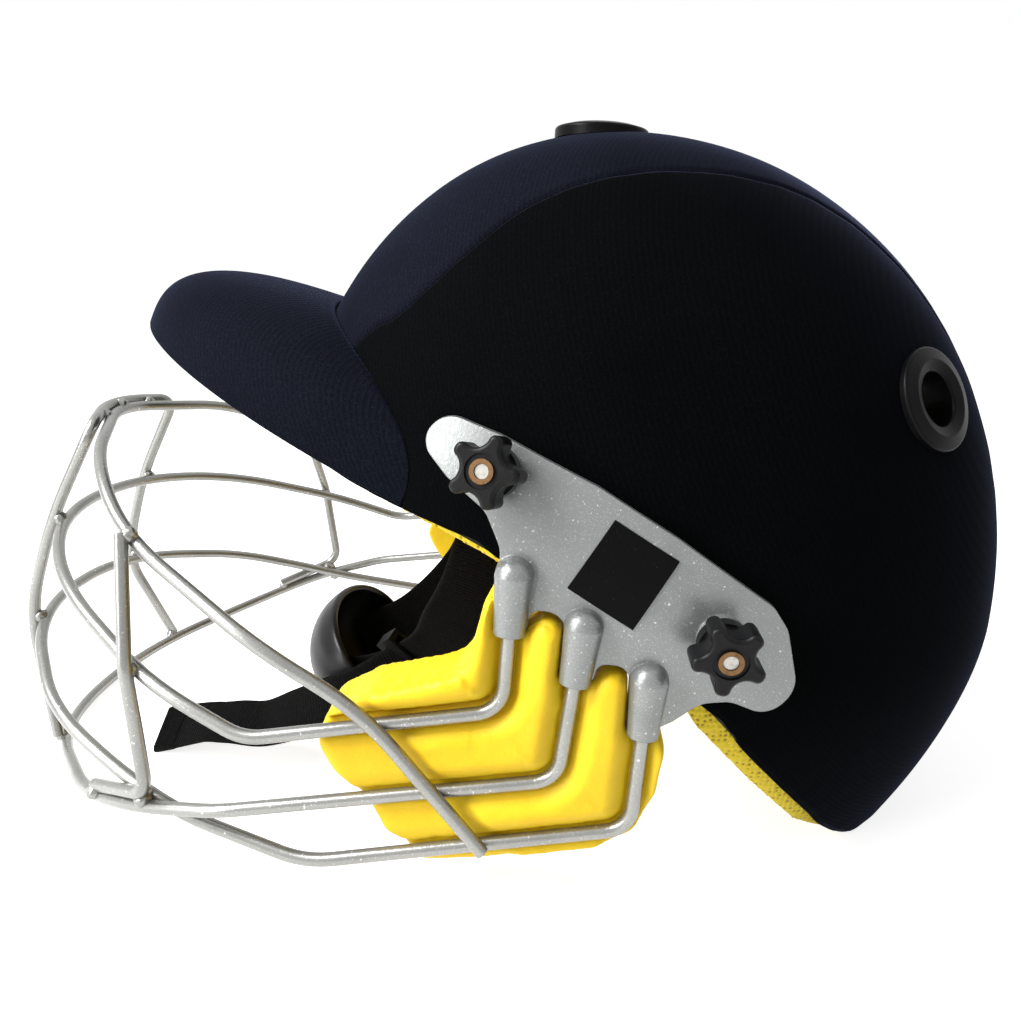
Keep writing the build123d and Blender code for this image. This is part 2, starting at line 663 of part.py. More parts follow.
def make_fasteners():
    """Studs, spacers, washers, knobs and bushes at the four fixings."""
    knob = star_knob()
    bore = stud_radius + stud_fit
    flange_low = knob_height - knob_dish_depth
    bush = tube(bush_radius, bore, glue_gap, flange_low)
    bush = bush + tube(bush_flange_radius, bore, flange_low, flange_low + bush_flange_thickness)
    washer = tube(washer_radius, stud_radius + washer_fit, 0, washer_thickness)
    inside = head_form(-shell_depth - glue_gap)
    gap_skin = layer(plate_gap - moving_gap, glue_gap)
    part, studs, spacers = {}, [], []
    ends = (("front", front_stud_frame, front_seat, front_knob_turn),
            ("rear", rear_stud_frame, rear_seat, rear_knob_turn))
    for end, frame, seat, turn in ends:
        low = -shell_depth - 2 * stud_head_thickness + glue_gap
        knob_seat = seat + washer_thickness + knob_seat_gap
        top = knob_seat + knob_height - stud_end_set_back
        head = frame * drill(stud_head_radius, low, 0) & inside
        stud = head + frame * drill(stud_radius, low, top)
        spacer = (frame * tube(spacer_radius, bore, -overrun / 2, overrun / 2)) & gap_skin
        spacer = spacer.solids().sort_by(Axis.X)[-1]
        studs += both_sides(stud)
        spacers += both_sides(spacer)
        knob_place = frame * Pos(0, 0, knob_seat) * Rot(0, 0, turn)
        for kind, solid in (("knob", knob_place * knob), ("bush", knob_place * bush),
                            ("washer", frame * Pos(0, 0, seat) * washer)):
            left, right = both_sides(solid)
            part[f"{end}_{kind}_left"], part[f"{end}_{kind}_right"] = left, right
    part["grille_studs"] = [stud.solids()[0] for stud in studs]
    part["stud_spacers"] = [spacer.solids()[0] for spacer in spacers]
    return part


def webbing(points, width_shares, width):
    """Flat webbing through a list of places, its width turned as listed."""
    sections = []
    for i, (point, across) in enumerate(zip(points, width_shares)):
        along = points[min(i + 1, len(points) - 1)] - points[max(i - 1, 0)]
        across = Vector(*across).normalized()
        normal = (along - across * along.dot(across)).normalized()
        sections.append(Plane(point, x_dir=across, z_dir=normal) * Rectangle(width, strap_thickness))
    return loft(sections, ruled=True)


def cup_frame():
    """The chin cup's mouth, which faces up and back."""
    tilt = radians(cup_tilt)
    return Plane((0, -cup_forward, cup_above_table), x_dir=(1, 0, 0), z_dir=(0, cos(tilt), sin(tilt)))


def make_strap():
    """The chin strap, its rivets, the moulded cup, the slider and the loose tail."""
    points = [Vector(a * strap_plane_x, rivet_y - b * strap_drop, rivet_z - c * strap_drop)
              for a, b, c in strap_shares]
    strap = webbing(points, strap_width_shares, strap_width)
    rivet_place = Plane((0, rivet_y, rivet_z), z_dir=(1, 0, 0))
    eye = rivet_place * drill(strap_width / 2, strap_plane_x - strap_thickness, strap_plane_x + strap_thickness)
    strap = strap + eye - rivet_place * drill(rivet_radius + stud_fit, 0, far)
    pin_top = skin_x(rivet_y, rivet_z, 0) - cloth_thickness - hard_shell_thickness / 2
    head_low = strap_plane_x - strap_thickness - moving_gap - rivet_head_thickness
    rivet = rivet_place * (drill(rivet_radius, head_low, pin_top)
                           + drill(rivet_head_radius, head_low, head_low + rivet_head_thickness))
    lefts = both_sides(strap)
    rivets = both_sides(rivet)
    shape = Vector(cup_half_width, cup_half_height, cup_depth)
    outer = scale(Sphere(1), by=(shape.X, shape.Y, shape.Z))
    inner = scale(Sphere(1), by=(shape.X - cup_wall, shape.Y - cup_wall, shape.Z - cup_wall))
    lower = Pos(0, 0, -far / 2) * Box(far, far, far)
    cup = cup_frame() * ((outer - inner) & lower)
    across = (Vector(*strap_width_shares[3]) + Vector(*strap_width_shares[4])).normalized()
    place = Plane((points[3] + points[4]) / 2, x_dir=across, z_dir=points[4] - points[3])
    slider = place * Box(slider_width, slider_thickness, slider_length)
    slot = Box(strap_width + 2 * slider_slot_gap, strap_thickness + 2 * slider_slot_gap, far)
    slider = slider - place * slot
    outward = place.y_dir if place.y_dir.X > 0 else -place.y_dir
    start = place.origin + outward * (slider_thickness / 2 + moving_gap + strap_thickness / 2)
    tail_points = [start] + [Vector(a * strap_plane_x, -tail_start_y - b * tail_length, c * strap_drop)
                             for a, b, c in tail_shares]
    tail = webbing(tail_points, [tuple(-across)] + list(tail_width_shares), strap_width)
    return {"chin_strap_left": lefts[0], "chin_strap_right": lefts[1], "chin_cup": cup, "strap_tail": tail,
            "strap_slider": slider, "strap_rivets": [rivet.solids()[0] for rivet in rivets]}


def build():
    """Every node of the helmet, in the frame of the ear line."""
    part = {}
    paths = cage_paths()
    for group in (make_shell(), make_pads(), make_eyelets(), make_peak(), make_plates(paths), make_cage(paths),
                  make_fasteners(), make_strap()):
        part.update(group)
    return part


def moved_solids(shape, shift):
    """A node's solids, each moved by the same shift."""
    solids = shape if isinstance(shape, list) else shape.solids()
    return [shift * solid for solid in solids]


os.makedirs("parts", exist_ok=True)
nodes = build()
boxes = [solid.bounding_box() for shape in nodes.values() for solid in moved_solids(shape, Pos(0, 0, 0))]
middle_y = (min(box.min.Y for box in boxes) + max(box.max.Y for box in boxes)) / 2
for name, shape in nodes.items():
    solids = moved_solids(shape, Pos(0, -middle_y, 0))
    export_step(solids[0] if len(solids) == 1 else Compound(solids), f"parts/{name}.step")
print("moved forward by", middle_y)
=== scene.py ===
import bpy
import bmesh
import numpy as np
from mathutils import Matrix, Vector, kdtree, noise
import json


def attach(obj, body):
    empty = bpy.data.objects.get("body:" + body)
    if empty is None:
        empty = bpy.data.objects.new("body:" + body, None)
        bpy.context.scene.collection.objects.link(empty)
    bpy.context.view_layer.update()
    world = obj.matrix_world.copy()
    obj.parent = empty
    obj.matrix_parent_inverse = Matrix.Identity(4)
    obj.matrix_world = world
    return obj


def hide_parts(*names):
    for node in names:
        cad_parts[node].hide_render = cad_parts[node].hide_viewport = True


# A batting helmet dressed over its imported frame. Lengths here are millimetres, unless a name ends in _m.
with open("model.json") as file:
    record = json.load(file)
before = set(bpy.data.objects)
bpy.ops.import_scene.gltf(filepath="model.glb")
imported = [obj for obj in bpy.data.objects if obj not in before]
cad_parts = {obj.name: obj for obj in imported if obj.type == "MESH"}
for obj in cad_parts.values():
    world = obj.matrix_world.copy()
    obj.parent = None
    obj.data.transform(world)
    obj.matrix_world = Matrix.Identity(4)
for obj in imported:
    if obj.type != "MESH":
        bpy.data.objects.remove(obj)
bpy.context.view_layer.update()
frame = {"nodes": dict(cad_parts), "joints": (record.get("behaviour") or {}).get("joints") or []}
nodes = frame["nodes"]
metre = 0.001
hinge_y = 79.1
hinge = next(j for j in frame["joints"] if j["name"] == "grille_tilt")
middle_y = hinge_y - hinge["pos_m"][1] / metre

# Head form, the same stack of ovals as the frame's shell
half_width = 99.0
front_reach = 130.0
rear_reach = 143.0
centre_y = 54.6
widest = 78.5
crown_rise = 160.4
nape_drop = 180.0
lean = -0.045
crown_power = 2.06
nape_power = 1.6
rim_points = ((-120.0, 140.0), (-80.0, 133.0), (-5.0, 118.0), (15.0, 111.0), (77.0, 72.0), (95.0, 53.0),
              (120.0, 26.0), (131.0, 13.0), (146.0, 0.0))
band_points = ((39.6, -102.7), (50.6, -40.0), (57.5, -22.0), (57.5, -4.0), (52.0, 19.0), (45.5, 52.0),
               (39.0, 80.0), (32.0, 107.0), (27.0, 150.0), (25.7, 211.9))

# Peak
peak_half_width = 80.8
peak_length = 131.9
peak_crown = 37.3
peak_power = 2.91
peak_tilt = np.radians(23.2)
peak_root = np.array([0.0, -4.06, 116.1])
peak_clearance = 0.1
peak_wall = 4.9
roll_drop = 1.2
peak_cloth = 0.6
edge_margin = 0.004
peak_columns = 170
peak_top_rows = 90
peak_under_rows = 60

# Openings in the skins, as the side view shows their axes
crown_vent_y = 37.4
rear_eyelet = (143.5, 160.0)
front_stud = (14.8, 135.8)
rear_stud = (hinge_y, 95.7)
vent_radius = 11.5
stud_radius = 3.4
opening_reach = 30.0

# How finely lines are laid out
span_steps = 24
search_steps = 30
even_share = 0.35

collection = bpy.context.scene.collection


def smooth_step(value, low, high):
    """0 under low, 1 over high and smooth between."""
    share = np.clip((value - low) / (high - low), 0, 1)
    return share * share * (3 - 2 * share)


def to_row(points):
    """Datum millimetres to the frame's metres."""
    points = np.asarray(points, float)
    return (points - np.array([0, middle_y, 0])) * metre


def curve_through(points, count):
    """A smooth line through points, evenly spaced along its length."""
    points = np.asarray(points, float)
    ends = np.vstack([2 * points[0] - points[1], points, 2 * points[-1] - points[-2]])
    line = []
    for i in range(1, len(ends) - 2):
        a, b, c, d = ends[i - 1:i + 3]
        for t in np.linspace(0, 1, span_steps, endpoint=False):
            line.append(0.5 * (2 * b + (c - a) * t + (2 * a - 5 * b + 4 * c - d) * t ** 2
                               + (3 * b - a - 3 * c + d) * t ** 3))
    line.append(points[-1])
    return even(np.array(line), count)


def even(line, count):
    """A polyline resampled at equal steps."""
    steps = np.r_[0, np.cumsum(np.linalg.norm(np.diff(line, axis=0), axis=1))]
    wanted = np.linspace(0, steps[-1], count)
    return np.stack([np.interp(wanted, steps, line[:, k]) for k in range(line.shape[1])], axis=1)


def outside_head(points, grow=0.0):
    """Above zero outside the grown head form, below zero inside it."""
    x, y, z = points[..., 0], points[..., 1], points[..., 2]
    height = z - widest
    up = height >= 0
    rise = np.where(up, crown_rise, nape_drop) + grow
    power = np.where(up, crown_power, nape_power)
    share = np.clip(1 - (np.abs(height) / rise).clip(0, 1) ** power, 1e-9, 1) ** (1 / power)
    middle = centre_y + lean * height
    reach = np.where(y < middle, front_reach, rear_reach) + grow
    return (x / ((half_width + grow) * share)) ** 2 + ((y - middle) / (reach * share)) ** 2 - 1


head_centre = np.array([0.0, centre_y, widest])
far_out = 260.0
seam_near = 60.0
seam_far = 200.0


def border(past, low, high, steps):
    """The place between low and high where past turns true, found by halving."""
    for _ in range(steps):
        middle = (low + high) / 2
        over = past(middle)
        high = np.where(over, middle, high)
        low = np.where(over, low, middle)
    return low


def on_head(directions, grow=0.0):
    """Where rays from the head form's centre meet its surface."""
    directions = directions / np.linalg.norm(directions, axis=-1, keepdims=True)
    shape = directions.shape[:-1]
    reach = border(lambda away: outside_head(head_centre + directions * away[..., None], grow) > 0,
                   np.zeros(shape), np.full(shape, far_out), 34)
    return head_centre + directions * reach[..., None]


def skin_x(y, z):
    """Half width of the head form at one place of the side view, 0 off it."""
    return float(border(lambda x: outside_head(np.array([x, y, z])) > 0, 0.0, far_out / 2, search_steps))


def head_normal(point):
    """Outward direction of the head form near a point of its surface."""
    step = 0.2
    slopes = [outside_head(point + side) - outside_head(point - side) for side in step * np.eye(3)]
    return np.array(slopes) / np.linalg.norm(slopes)


def rim_line(count):
    """The left half of the shell's rim, from the middle of the front to the middle of the nape."""
    side = curve_through(rim_points, 400)
    rim = [np.array([skin_x(y, z), y, z]) for y, z in side if skin_x(y, z) > 0.5]
    rear_y = np.linspace(146.0, 173.9, 40)[1:]
    rim += [np.array([skin_x(y, 0.0), y, 0.0]) for y in rear_y if skin_x(y, 0.0) > 0.5]
    rim = [np.array([0.0, rim[0][1], rim[0][2]])] + rim + [np.array([0.0, rim[-1][1], 0.0])]
    return even(np.array(rim), count)


def band_half(y):
    """Half width of the middle cloth panel at one place along the head."""
    line = curve_through(band_points, 300)
    return np.interp(y, line[:, 1], line[:, 0])


def seam_line(rim, count):
    """The left seam of the middle panel, from the rim at the front to the rim at the nape."""
    middle = len(rim) // 2
    inside = rim[:, 0] - band_half(rim[:, 1]) < 0
    front = rim[:middle][inside[:middle]][-1]
    rear = rim[middle:][inside[middle:]][0]
    ys = np.linspace(front[1], rear[1], 240)
    line = []
    for y in ys:
        x = band_half(y)
        rise = float(border(lambda z: outside_head(np.array([x, y, widest + z])) > 0,
                            0.0, seam_far, search_steps))
        if rise > 0.01:
            line.append([x, y, widest + rise])
    tail = []
    for z in np.linspace(widest, 0.0, 60):
        back = float(border(lambda y: outside_head(np.array([band_half(y), y, z])) > 0,
                            seam_near, seam_far, search_steps))
        tail.append([band_half(back), back, z])
    line = [front] + [p for p in line if p[1] > front[1]] + tail
    return even(np.array(line), count)


def between_on_head(first, last, shares):
    """Lines over the head form from each first point to each last point."""
    a = first - head_centre
    b = last - head_centre
    a = a / np.linalg.norm(a, axis=1, keepdims=True)
    b = b / np.linalg.norm(b, axis=1, keepdims=True)
    turn = np.arccos(np.clip((a * b).sum(1), -1, 1))[:, None].clip(1e-6, None)
    rows = []
    for share in shares:
        mix = (np.sin((1 - share) * turn) * a + np.sin(share * turn) * b) / np.sin(turn)
        rows.append(on_head(mix))
    return np.stack(rows, axis=1)


def eased(count):
    """Shares from 0 to 1 that crowd near both ends."""
    t = np.linspace(0, 1, count)
    return even_share * t + (1 - even_share) * (0.5 - 0.5 * np.cos(np.pi * t))


def grid_normals(points):
    """Unit normals of a grid of points."""
    along = np.gradient(points, axis=0)
    across = np.gradient(points, axis=1)
    normal = np.cross(along, across)
    return normal / np.linalg.norm(normal, axis=-1, keepdims=True).clip(1e-9, None)


def outward(points, normal):
    """Normals turned to point away from the head's middle."""
    flip = ((points - head_centre) * normal).sum(-1, keepdims=True) < 0
    return np.where(flip, -normal, normal)


def shade_smooth(mesh):
    """Gives a mesh smooth shading."""
    for polygon in mesh.polygons:
        polygon.use_smooth = True


def placed(name, mesh, body):
    """An object with a mesh that rides on a body."""
    piece = bpy.data.objects.new(name, mesh)
    collection.objects.link(piece)
    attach(piece, body)
    return piece


def new_object(name, verts, faces, material, body):
    """A smooth mesh object that rides on a body."""
    mesh = bpy.data.meshes.new(name)
    mesh.from_pydata([tuple(v) for v in verts], [], faces)
    mesh.validate()
    mesh.materials.append(material)
    shade_smooth(mesh)
    return placed(name, mesh, body)


def grid_faces(rows, columns, closed_rows=False, closed_columns=False):
    """Quads of a grid of points."""
    faces = []
    for i in range(rows if closed_rows else rows - 1):
        for j in range(columns if closed_columns else columns - 1):
            a, b = i * columns + j, i * columns + (j + 1) % columns
            c, d = ((i + 1) % rows) * columns + (j + 1) % columns, ((i + 1) % rows) * columns + j
            faces.append((a, b, c, d))
    return faces


def grid_object(name, points, material, body, slot, keep=None, **closed):
    """A mesh over a grid of datum points, with the faces that keep says."""
    rows, columns = points.shape[:2]
    faces = grid_faces(rows, columns, **closed)
    if keep is not None:
        flat = points.reshape(-1, 3)
        centres = flat[np.array(faces)].mean(axis=1)
        faces = [face for face, good in zip(faces, keep(centres)) if good]
    return new_object(name, to_row(points.reshape(-1, 3)), faces, material, body)


def applied(piece, kind, **settings):
    """Adds a modifier, sets it and applies it to the mesh."""
    modifier = piece.modifiers.new(kind.lower(), kind)
    for key, value in settings.items():
        setattr(modifier, key, value)
    depsgraph = bpy.context.evaluated_depsgraph_get()
    mesh = bpy.data.meshes.new_from_object(piece.evaluated_get(depsgraph))
    piece.modifiers.remove(modifier)
    old = piece.data
    piece.data = mesh
    bpy.data.meshes.remove(old)
    shade_smooth(mesh)
    return piece


def merged(piece, distance=0.00002):
    """Joins points that coincide and turns the normals outwards."""
    work = bmesh.new()
    work.from_mesh(piece.data)
    bmesh.ops.remove_doubles(work, verts=work.verts, dist=distance)
    bmesh.ops.recalc_face_normals(work, faces=work.faces)
    work.to_mesh(piece.data)
    work.free()
    shade_smooth(piece.data)
    return piece


# Openings in the skins
def axes_of_openings():
    """Each opening's place on the cloth, direction and radius."""
    crown = on_head(np.array([[0.0, crown_vent_y - centre_y, crown_rise]]))[0]
    axes = [(np.array([0.0, crown_vent_y, crown[2]]), np.array([0.0, 0.0, 1.0]), vent_radius)]
    for (y, z), radius in ((rear_eyelet, vent_radius), (front_stud, stud_radius), (rear_stud, stud_radius)):
        point = np.array([skin_x(y, z), y, z])
        normal = np.array([1.0, 0.0, 0.0]) if (y, z) == rear_stud else head_normal(point)
        mirror = np.array([-1.0, 1.0, 1.0])
        axes.append((point, normal, radius))
        axes.append((point * mirror, normal * mirror, radius))
    return axes


openings = axes_of_openings()


def clear_of_openings(centres):
    """True for faces that cover no opening."""
    good = np.ones(len(centres), bool)
    for point, axis, radius in openings:
        offset = centres - point
        depth = offset @ axis
        away = np.linalg.norm(offset - depth[:, None] * axis, axis=1)
        good &= (away > radius) | (np.abs(depth) > opening_reach)
    return good


# Materials
def node(tree, kind, **settings):
    """A shader node with its fields and sockets set."""
    made = tree.nodes.new(kind)
    for key, value in settings.items():
        if key in made.inputs:
            made.inputs[key].default_value = value
        else:
            setattr(made, key, value)
    return made


class Finish:
    """A material under construction: a principled shader, its coordinates and a bump chain."""

    def __init__(self, name, color, edge_m=0.0, **sockets):
        self.material = bpy.data.materials.new(name)
        self.material.use_nodes = True
        self.material.diffuse_color = (*color, 1)
        self.tree = self.material.node_tree
        self.shader = self.tree.nodes["Principled BSDF"]
        self.shader.inputs["Base Color"].default_value = (*color, 1)
        for key, value in sockets.items():
            self.shader.inputs[key.replace("_", " ")].default_value = value
        self.place = node(self.tree, "ShaderNodeTexCoord").outputs["Object"]
        self.color_out = None
        self.color = color
        self.bump_out = None
        if edge_m:
            self.bump_out = node(self.tree, "ShaderNodeBevel", Radius=edge_m).outputs["Normal"]

    def link(self, out, socket):
        self.tree.links.new(out, socket)

    def texture(self, kind, scale, place=None, **settings):
        made = node(self.tree, kind, Scale=scale, **settings)
        self.link(place or self.place, made.inputs["Vector"])
        return made

    def ramp(self, out, low, high, dark=(0, 0, 0, 1), light=(1, 1, 1, 1)):
        made = node(self.tree, "ShaderNodeValToRGB")
        made.color_ramp.elements[0].position = low
        made.color_ramp.elements[0].color = dark
        made.color_ramp.elements[1].position = high
        made.color_ramp.elements[1].color = light
        self.link(out, made.inputs["Fac"])
        return made.outputs["Color"]

    def tint(self, mask, color, strength=1.0):
        """Mixes a colour in where a mask is bright."""
        mix = node(self.tree, "ShaderNodeMix", data_type="RGBA")
        if strength < 1.0:
            scale = node(self.tree, "ShaderNodeMath", operation="MULTIPLY")
            scale.inputs[1].default_value = strength
            self.link(mask, scale.inputs[0])
            mask = scale.outputs[0]
        self.link(mask, mix.inputs[0])
        if self.color_out is None:
            mix.inputs[6].default_value = (*self.color, 1)
        else:
            self.link(self.color_out, mix.inputs[6])
        mix.inputs[7].default_value = (*color, 1)
        self.color_out = mix.outputs[2]
        self.link(self.color_out, self.shader.inputs["Base Color"])

    def bump(self, height, strength, distance_m):
        made = node(self.tree, "ShaderNodeBump", Strength=strength, Distance=distance_m)
        self.link(height, made.inputs["Height"])
        if self.bump_out is not None:
            self.link(self.bump_out, made.inputs["Normal"])
        self.bump_out = made.outputs["Normal"]
        self.link(self.bump_out, self.shader.inputs["Normal"])

    def roughness(self, height, low, high):
        made = node(self.tree, "ShaderNodeMapRange")
        made.inputs["To Min"].default_value = low
        made.inputs["To Max"].default_value = high
        self.link(height, made.inputs["Value"])
        self.link(made.outputs["Result"], self.shader.inputs["Roughness"])


def twill(name, color, nap):
    """Fine navy twill: diagonal ribs, crossing yarns, a little fuzz and fading."""
    finish = Finish(name, color, Roughness=0.9, Sheen_Weight=nap, Sheen_Roughness=0.27,
                    Sheen_Tint=(0.34, 0.39, 0.68, 1), Specular_IOR_Level=0.015)
    turned = node(finish.tree, "ShaderNodeMapping")
    turned.inputs["Rotation"].default_value = (0.6, 0.35, 0.3)
    finish.link(finish.place, turned.inputs["Vector"])
    ribs = finish.texture("ShaderNodeTexWave", 260.0, turned.outputs["Vector"], Distortion=0.6)
    ribs.bands_direction = "DIAGONAL"
    ribs.inputs["Detail"].default_value = 1.0
    ribs.inputs["Detail Scale"].default_value = 2.0
    yarn = finish.texture("ShaderNodeTexNoise", 1500.0, Detail=2.0)
    fade = finish.texture("ShaderNodeTexNoise", 22.0, Detail=4.0)
    finish.tint(finish.ramp(yarn.outputs["Fac"], 0.48, 0.80), tuple(2.6 * c for c in color), 0.8)
    finish.tint(finish.ramp(ribs.outputs["Color"], 0.55, 1.0), tuple(1.7 * c for c in color), 0.45)
    finish.tint(finish.ramp(fade.outputs["Fac"], 0.45, 0.75), tuple(0.55 * c for c in color), 0.55)
    finish.bump(ribs.outputs["Color"], 0.35, 0.00012)
    finish.bump(yarn.outputs["Fac"], 0.45, 0.00012)
    return finish.material


def foam(name, color, deep):
    """Moulded yellow foam: a soft skin, fine pores and warmer patches at random."""
    finish = Finish(name, color, Roughness=0.44, Subsurface_Weight=0.15, Subsurface_Scale=0.004,
                    Subsurface_Radius=(1.0, 0.6, 0.1), Specular_IOR_Level=0.3)
    patches = finish.texture("ShaderNodeTexNoise", 60.0, Detail=5.0)
    pores = finish.texture("ShaderNodeTexVoronoi", 900.0)
    lumps = finish.texture("ShaderNodeTexNoise", 170.0, Detail=3.0)
    finish.tint(finish.ramp(patches.outputs["Fac"], 0.42, 0.78), deep, 0.4)
    finish.bump(lumps.outputs["Fac"], 0.35, 0.0006)
    finish.bump(pores.outputs["Distance"], 0.25, 0.00015)
    finish.roughness(patches.outputs["Fac"], 0.38, 0.62)
    return finish.material


def mesh_cloth():
    """Yellow spacer mesh: rows of small holes in a knit, painted dark brown as painted shade inside them."""
    finish = Finish("yellow_mesh_cloth", (0.86, 0.66, 0.02), Roughness=0.8, Sheen_Weight=0.1)
    holes = finish.texture("ShaderNodeTexVoronoi", 520.0)
    holes.inputs["Randomness"].default_value = 0.35
    threads = finish.texture("ShaderNodeTexNoise", 1300.0, Detail=2.0)
    # The holes are painted dark brown: painted shade inside openings that the smooth mesh does not have.
    hole_shade_mask = finish.ramp(holes.outputs["Distance"], 0.16, 0.38, dark=(1, 1, 1, 1), light=(0, 0, 0, 1))
    finish.tint(hole_shade_mask, (0.22, 0.13, 0.004), 0.85)
    finish.tint(finish.ramp(threads.outputs["Fac"], 0.5, 0.8), (0.88, 0.68, 0.06), 0.5)
    finish.bump(holes.outputs["Distance"], 0.9, 0.0008)
    finish.bump(threads.outputs["Fac"], 0.4, 0.0002)
    return finish.material


def silver_paint(name, color, fleck, metallic, rough, edge_m=0.0):
    """Silver paint over metal: fine flakes, an uneven sheen and sparse bright specks that are painted glints.
    """
    finish = Finish(name, color, edge_m, Metallic=metallic, Roughness=rough)
    flakes = finish.texture("ShaderNodeTexVoronoi", 1700.0)
    patches = finish.texture("ShaderNodeTexNoise", 45.0, Detail=5.0)
    specks = finish.texture("ShaderNodeTexNoise", 900.0, Detail=3.0)
    flake_mask = finish.ramp(flakes.outputs["Distance"], 0.12, 0.30, dark=(1, 1, 1, 1), light=(0, 0, 0, 1))
    finish.tint(flake_mask, fleck, 0.55)
    finish.tint(finish.ramp(patches.outputs["Fac"], 0.50, 0.85), tuple(0.62 * c for c in color), 0.6)
    # Sparse near-white specks: painted glints of the paint's glitter.
    finish.tint(finish.ramp(specks.outputs["Fac"], 0.66, 0.74), (0.90, 0.90, 0.88), 0.6)
    finish.bump(specks.outputs["Fac"], 0.22, 0.00025)
    finish.roughness(patches.outputs["Fac"], rough - 0.08, rough + 0.12)
    return finish.material


def black_plastic(name, rough, grain, level=0.004, gloss=0.16):
    """Moulded black plastic with a fine spark-eroded grain."""
    finish = Finish(name, (level, level, level * 1.15), Roughness=rough, Specular_IOR_Level=gloss)
    texture = finish.texture("ShaderNodeTexNoise", grain, Detail=4.0)
    dust = finish.texture("ShaderNodeTexNoise", 60.0, Detail=5.0)
    finish.tint(finish.ramp(dust.outputs["Fac"], 0.55, 0.85), (0.018, 0.018, 0.019), 0.4)
    finish.bump(texture.outputs["Fac"], 0.35, 0.00012)
    finish.roughness(dust.outputs["Fac"], rough - 0.08, rough + 0.1)
    return finish.material


def webbing():
    """Black ribbed webbing: short crossing yarns on each cord."""
    finish = Finish("black_webbing", (0.0025, 0.0025, 0.0025), Roughness=0.78, Sheen_Weight=0.015,
                    Specular_IOR_Level=0.05)
    yarn = finish.texture("ShaderNodeTexNoise", 1100.0, Detail=3.0)
    weave = finish.texture("ShaderNodeTexVoronoi", 900.0)
    finish.tint(finish.ramp(yarn.outputs["Fac"], 0.50, 0.80), (0.009, 0.0088, 0.0085), 0.8)
    finish.bump(weave.outputs["Distance"], 0.5, 0.0003)
    finish.bump(yarn.outputs["Fac"], 0.5, 0.0002)
    return finish.material


def turned_metal(name, color, rough):
    """Turned or plated metal with a few dull marks."""
    finish = Finish(name, color, Metallic=1.0, Roughness=rough)
    marks = finish.texture("ShaderNodeTexNoise", 700.0, Detail=4.0)
    finish.tint(finish.ramp(marks.outputs["Fac"], 0.50, 0.75), tuple(0.45 * c for c in color), 0.6)
    finish.bump(marks.outputs["Fac"], 0.3, 0.0002)
    finish.roughness(marks.outputs["Fac"], rough - 0.1, rough + 0.2)
    return finish.material


def film():
    """Black printed film, glossy, with faint dust."""
    finish = Finish("black_film", (0.003, 0.003, 0.003), Roughness=0.3, Specular_IOR_Level=0.05)
    dust = finish.texture("ShaderNodeTexNoise", 1600.0, Detail=3.0)
    finish.tint(finish.ramp(dust.outputs["Fac"], 0.68, 0.74), (0.05, 0.05, 0.05), 0.5)
    finish.bump(dust.outputs["Fac"], 0.1, 0.00008)
    return finish.material


# One navy twill in two tones. The darker side copy is painted shade. The lighter, bluer crown copy, also used
# on the peak and its lining, is painted light where light from above and in front falls.
navy_painted_shade = twill("navy_twill_side_shaded", (0.0014, 0.0016, 0.0018), 0.17)
navy_painted_light = twill("navy_twill_crown_lit", (0.0046, 0.0053, 0.0090), 0.17)
yellow_foam = foam("yellow_foam", (0.92, 0.63, 0.018), (0.86, 0.47, 0.006))
mesh_yellow = mesh_cloth()
rod_paint = silver_paint("rod_silver", (0.30, 0.30, 0.285), (0.58, 0.58, 0.55), 0.75, 0.28)
plate_paint = silver_paint("plate_silver", (0.24, 0.25, 0.245), (0.50, 0.52, 0.51), 0.5, 0.33, 0.0006)
knob_black = black_plastic("knob_black", 0.36, 1100.0)
shell_black = black_plastic("shell_black", 0.30, 700.0)
eyelet_black = black_plastic("eyelet_black", 0.34, 900.0, 0.0022, 0.07)
cup_black = black_plastic("cup_rubber", 0.34, 500.0, 0.004, 0.24)
washer_black = black_plastic("washer_rubber", 0.65, 800.0)
web_black = webbing()
brass = turned_metal("turned_brass", (0.17, 0.095, 0.045), 0.36)
plated = turned_metal("plated_steel", (0.42, 0.41, 0.38), 0.34)
label_black = film()

cad_finish = {
    "hard_shell": shell_black, "peak_board": shell_black, "crown_eyelet": eyelet_black,
    "rear_eyelet_left": eyelet_black, "rear_eyelet_right": eyelet_black, "eyelet_retainers": eyelet_black,
    "grille_studs": plated, "strap_rivets": plated, "stud_spacers": washer_black,
    "side_plate_left": plate_paint, "side_plate_right": plate_paint, "label_left": label_black,
    "label_right": label_black, "grille_upper_bar": rod_paint, "grille_lower_bar": rod_paint,
    "grille_middle_bar": rod_paint, "grille_top_bar": rod_paint, "grille_centre_loop": rod_paint,
    "grille_post_left": rod_paint, "grille_post_right": rod_paint, "strap_slider": knob_black,
}
for end in ("front", "rear"):
    for side in ("left", "right"):
        cad_finish[f"{end}_knob_{side}"] = knob_black
        cad_finish[f"{end}_bush_{side}"] = brass
        cad_finish[f"{end}_washer_{side}"] = washer_black
for name, material in cad_finish.items():
    for item in nodes[name].material_slots:
        item.material = material


# Cloth over the shell
cloth_thickness = 0.8
seam_depth = 0.75
seam_reach = 1.1
hem_drop = 0.9
hem_steps = ((0.7, 0.05), (1.0, 0.5), (1.05, 1.3), (1.0, 2.2), (0.8, 3.0))
pucker_height = 0.10
pucker_reach = 5.0
pucker_turn, pucker_sway, sway_turn = 0.9, 1.7, 0.23
slack_height = 0.22
slack_size = 38.0
rim_count = 900
seam_count = 190
side_rows = 110
crown_rows = 90


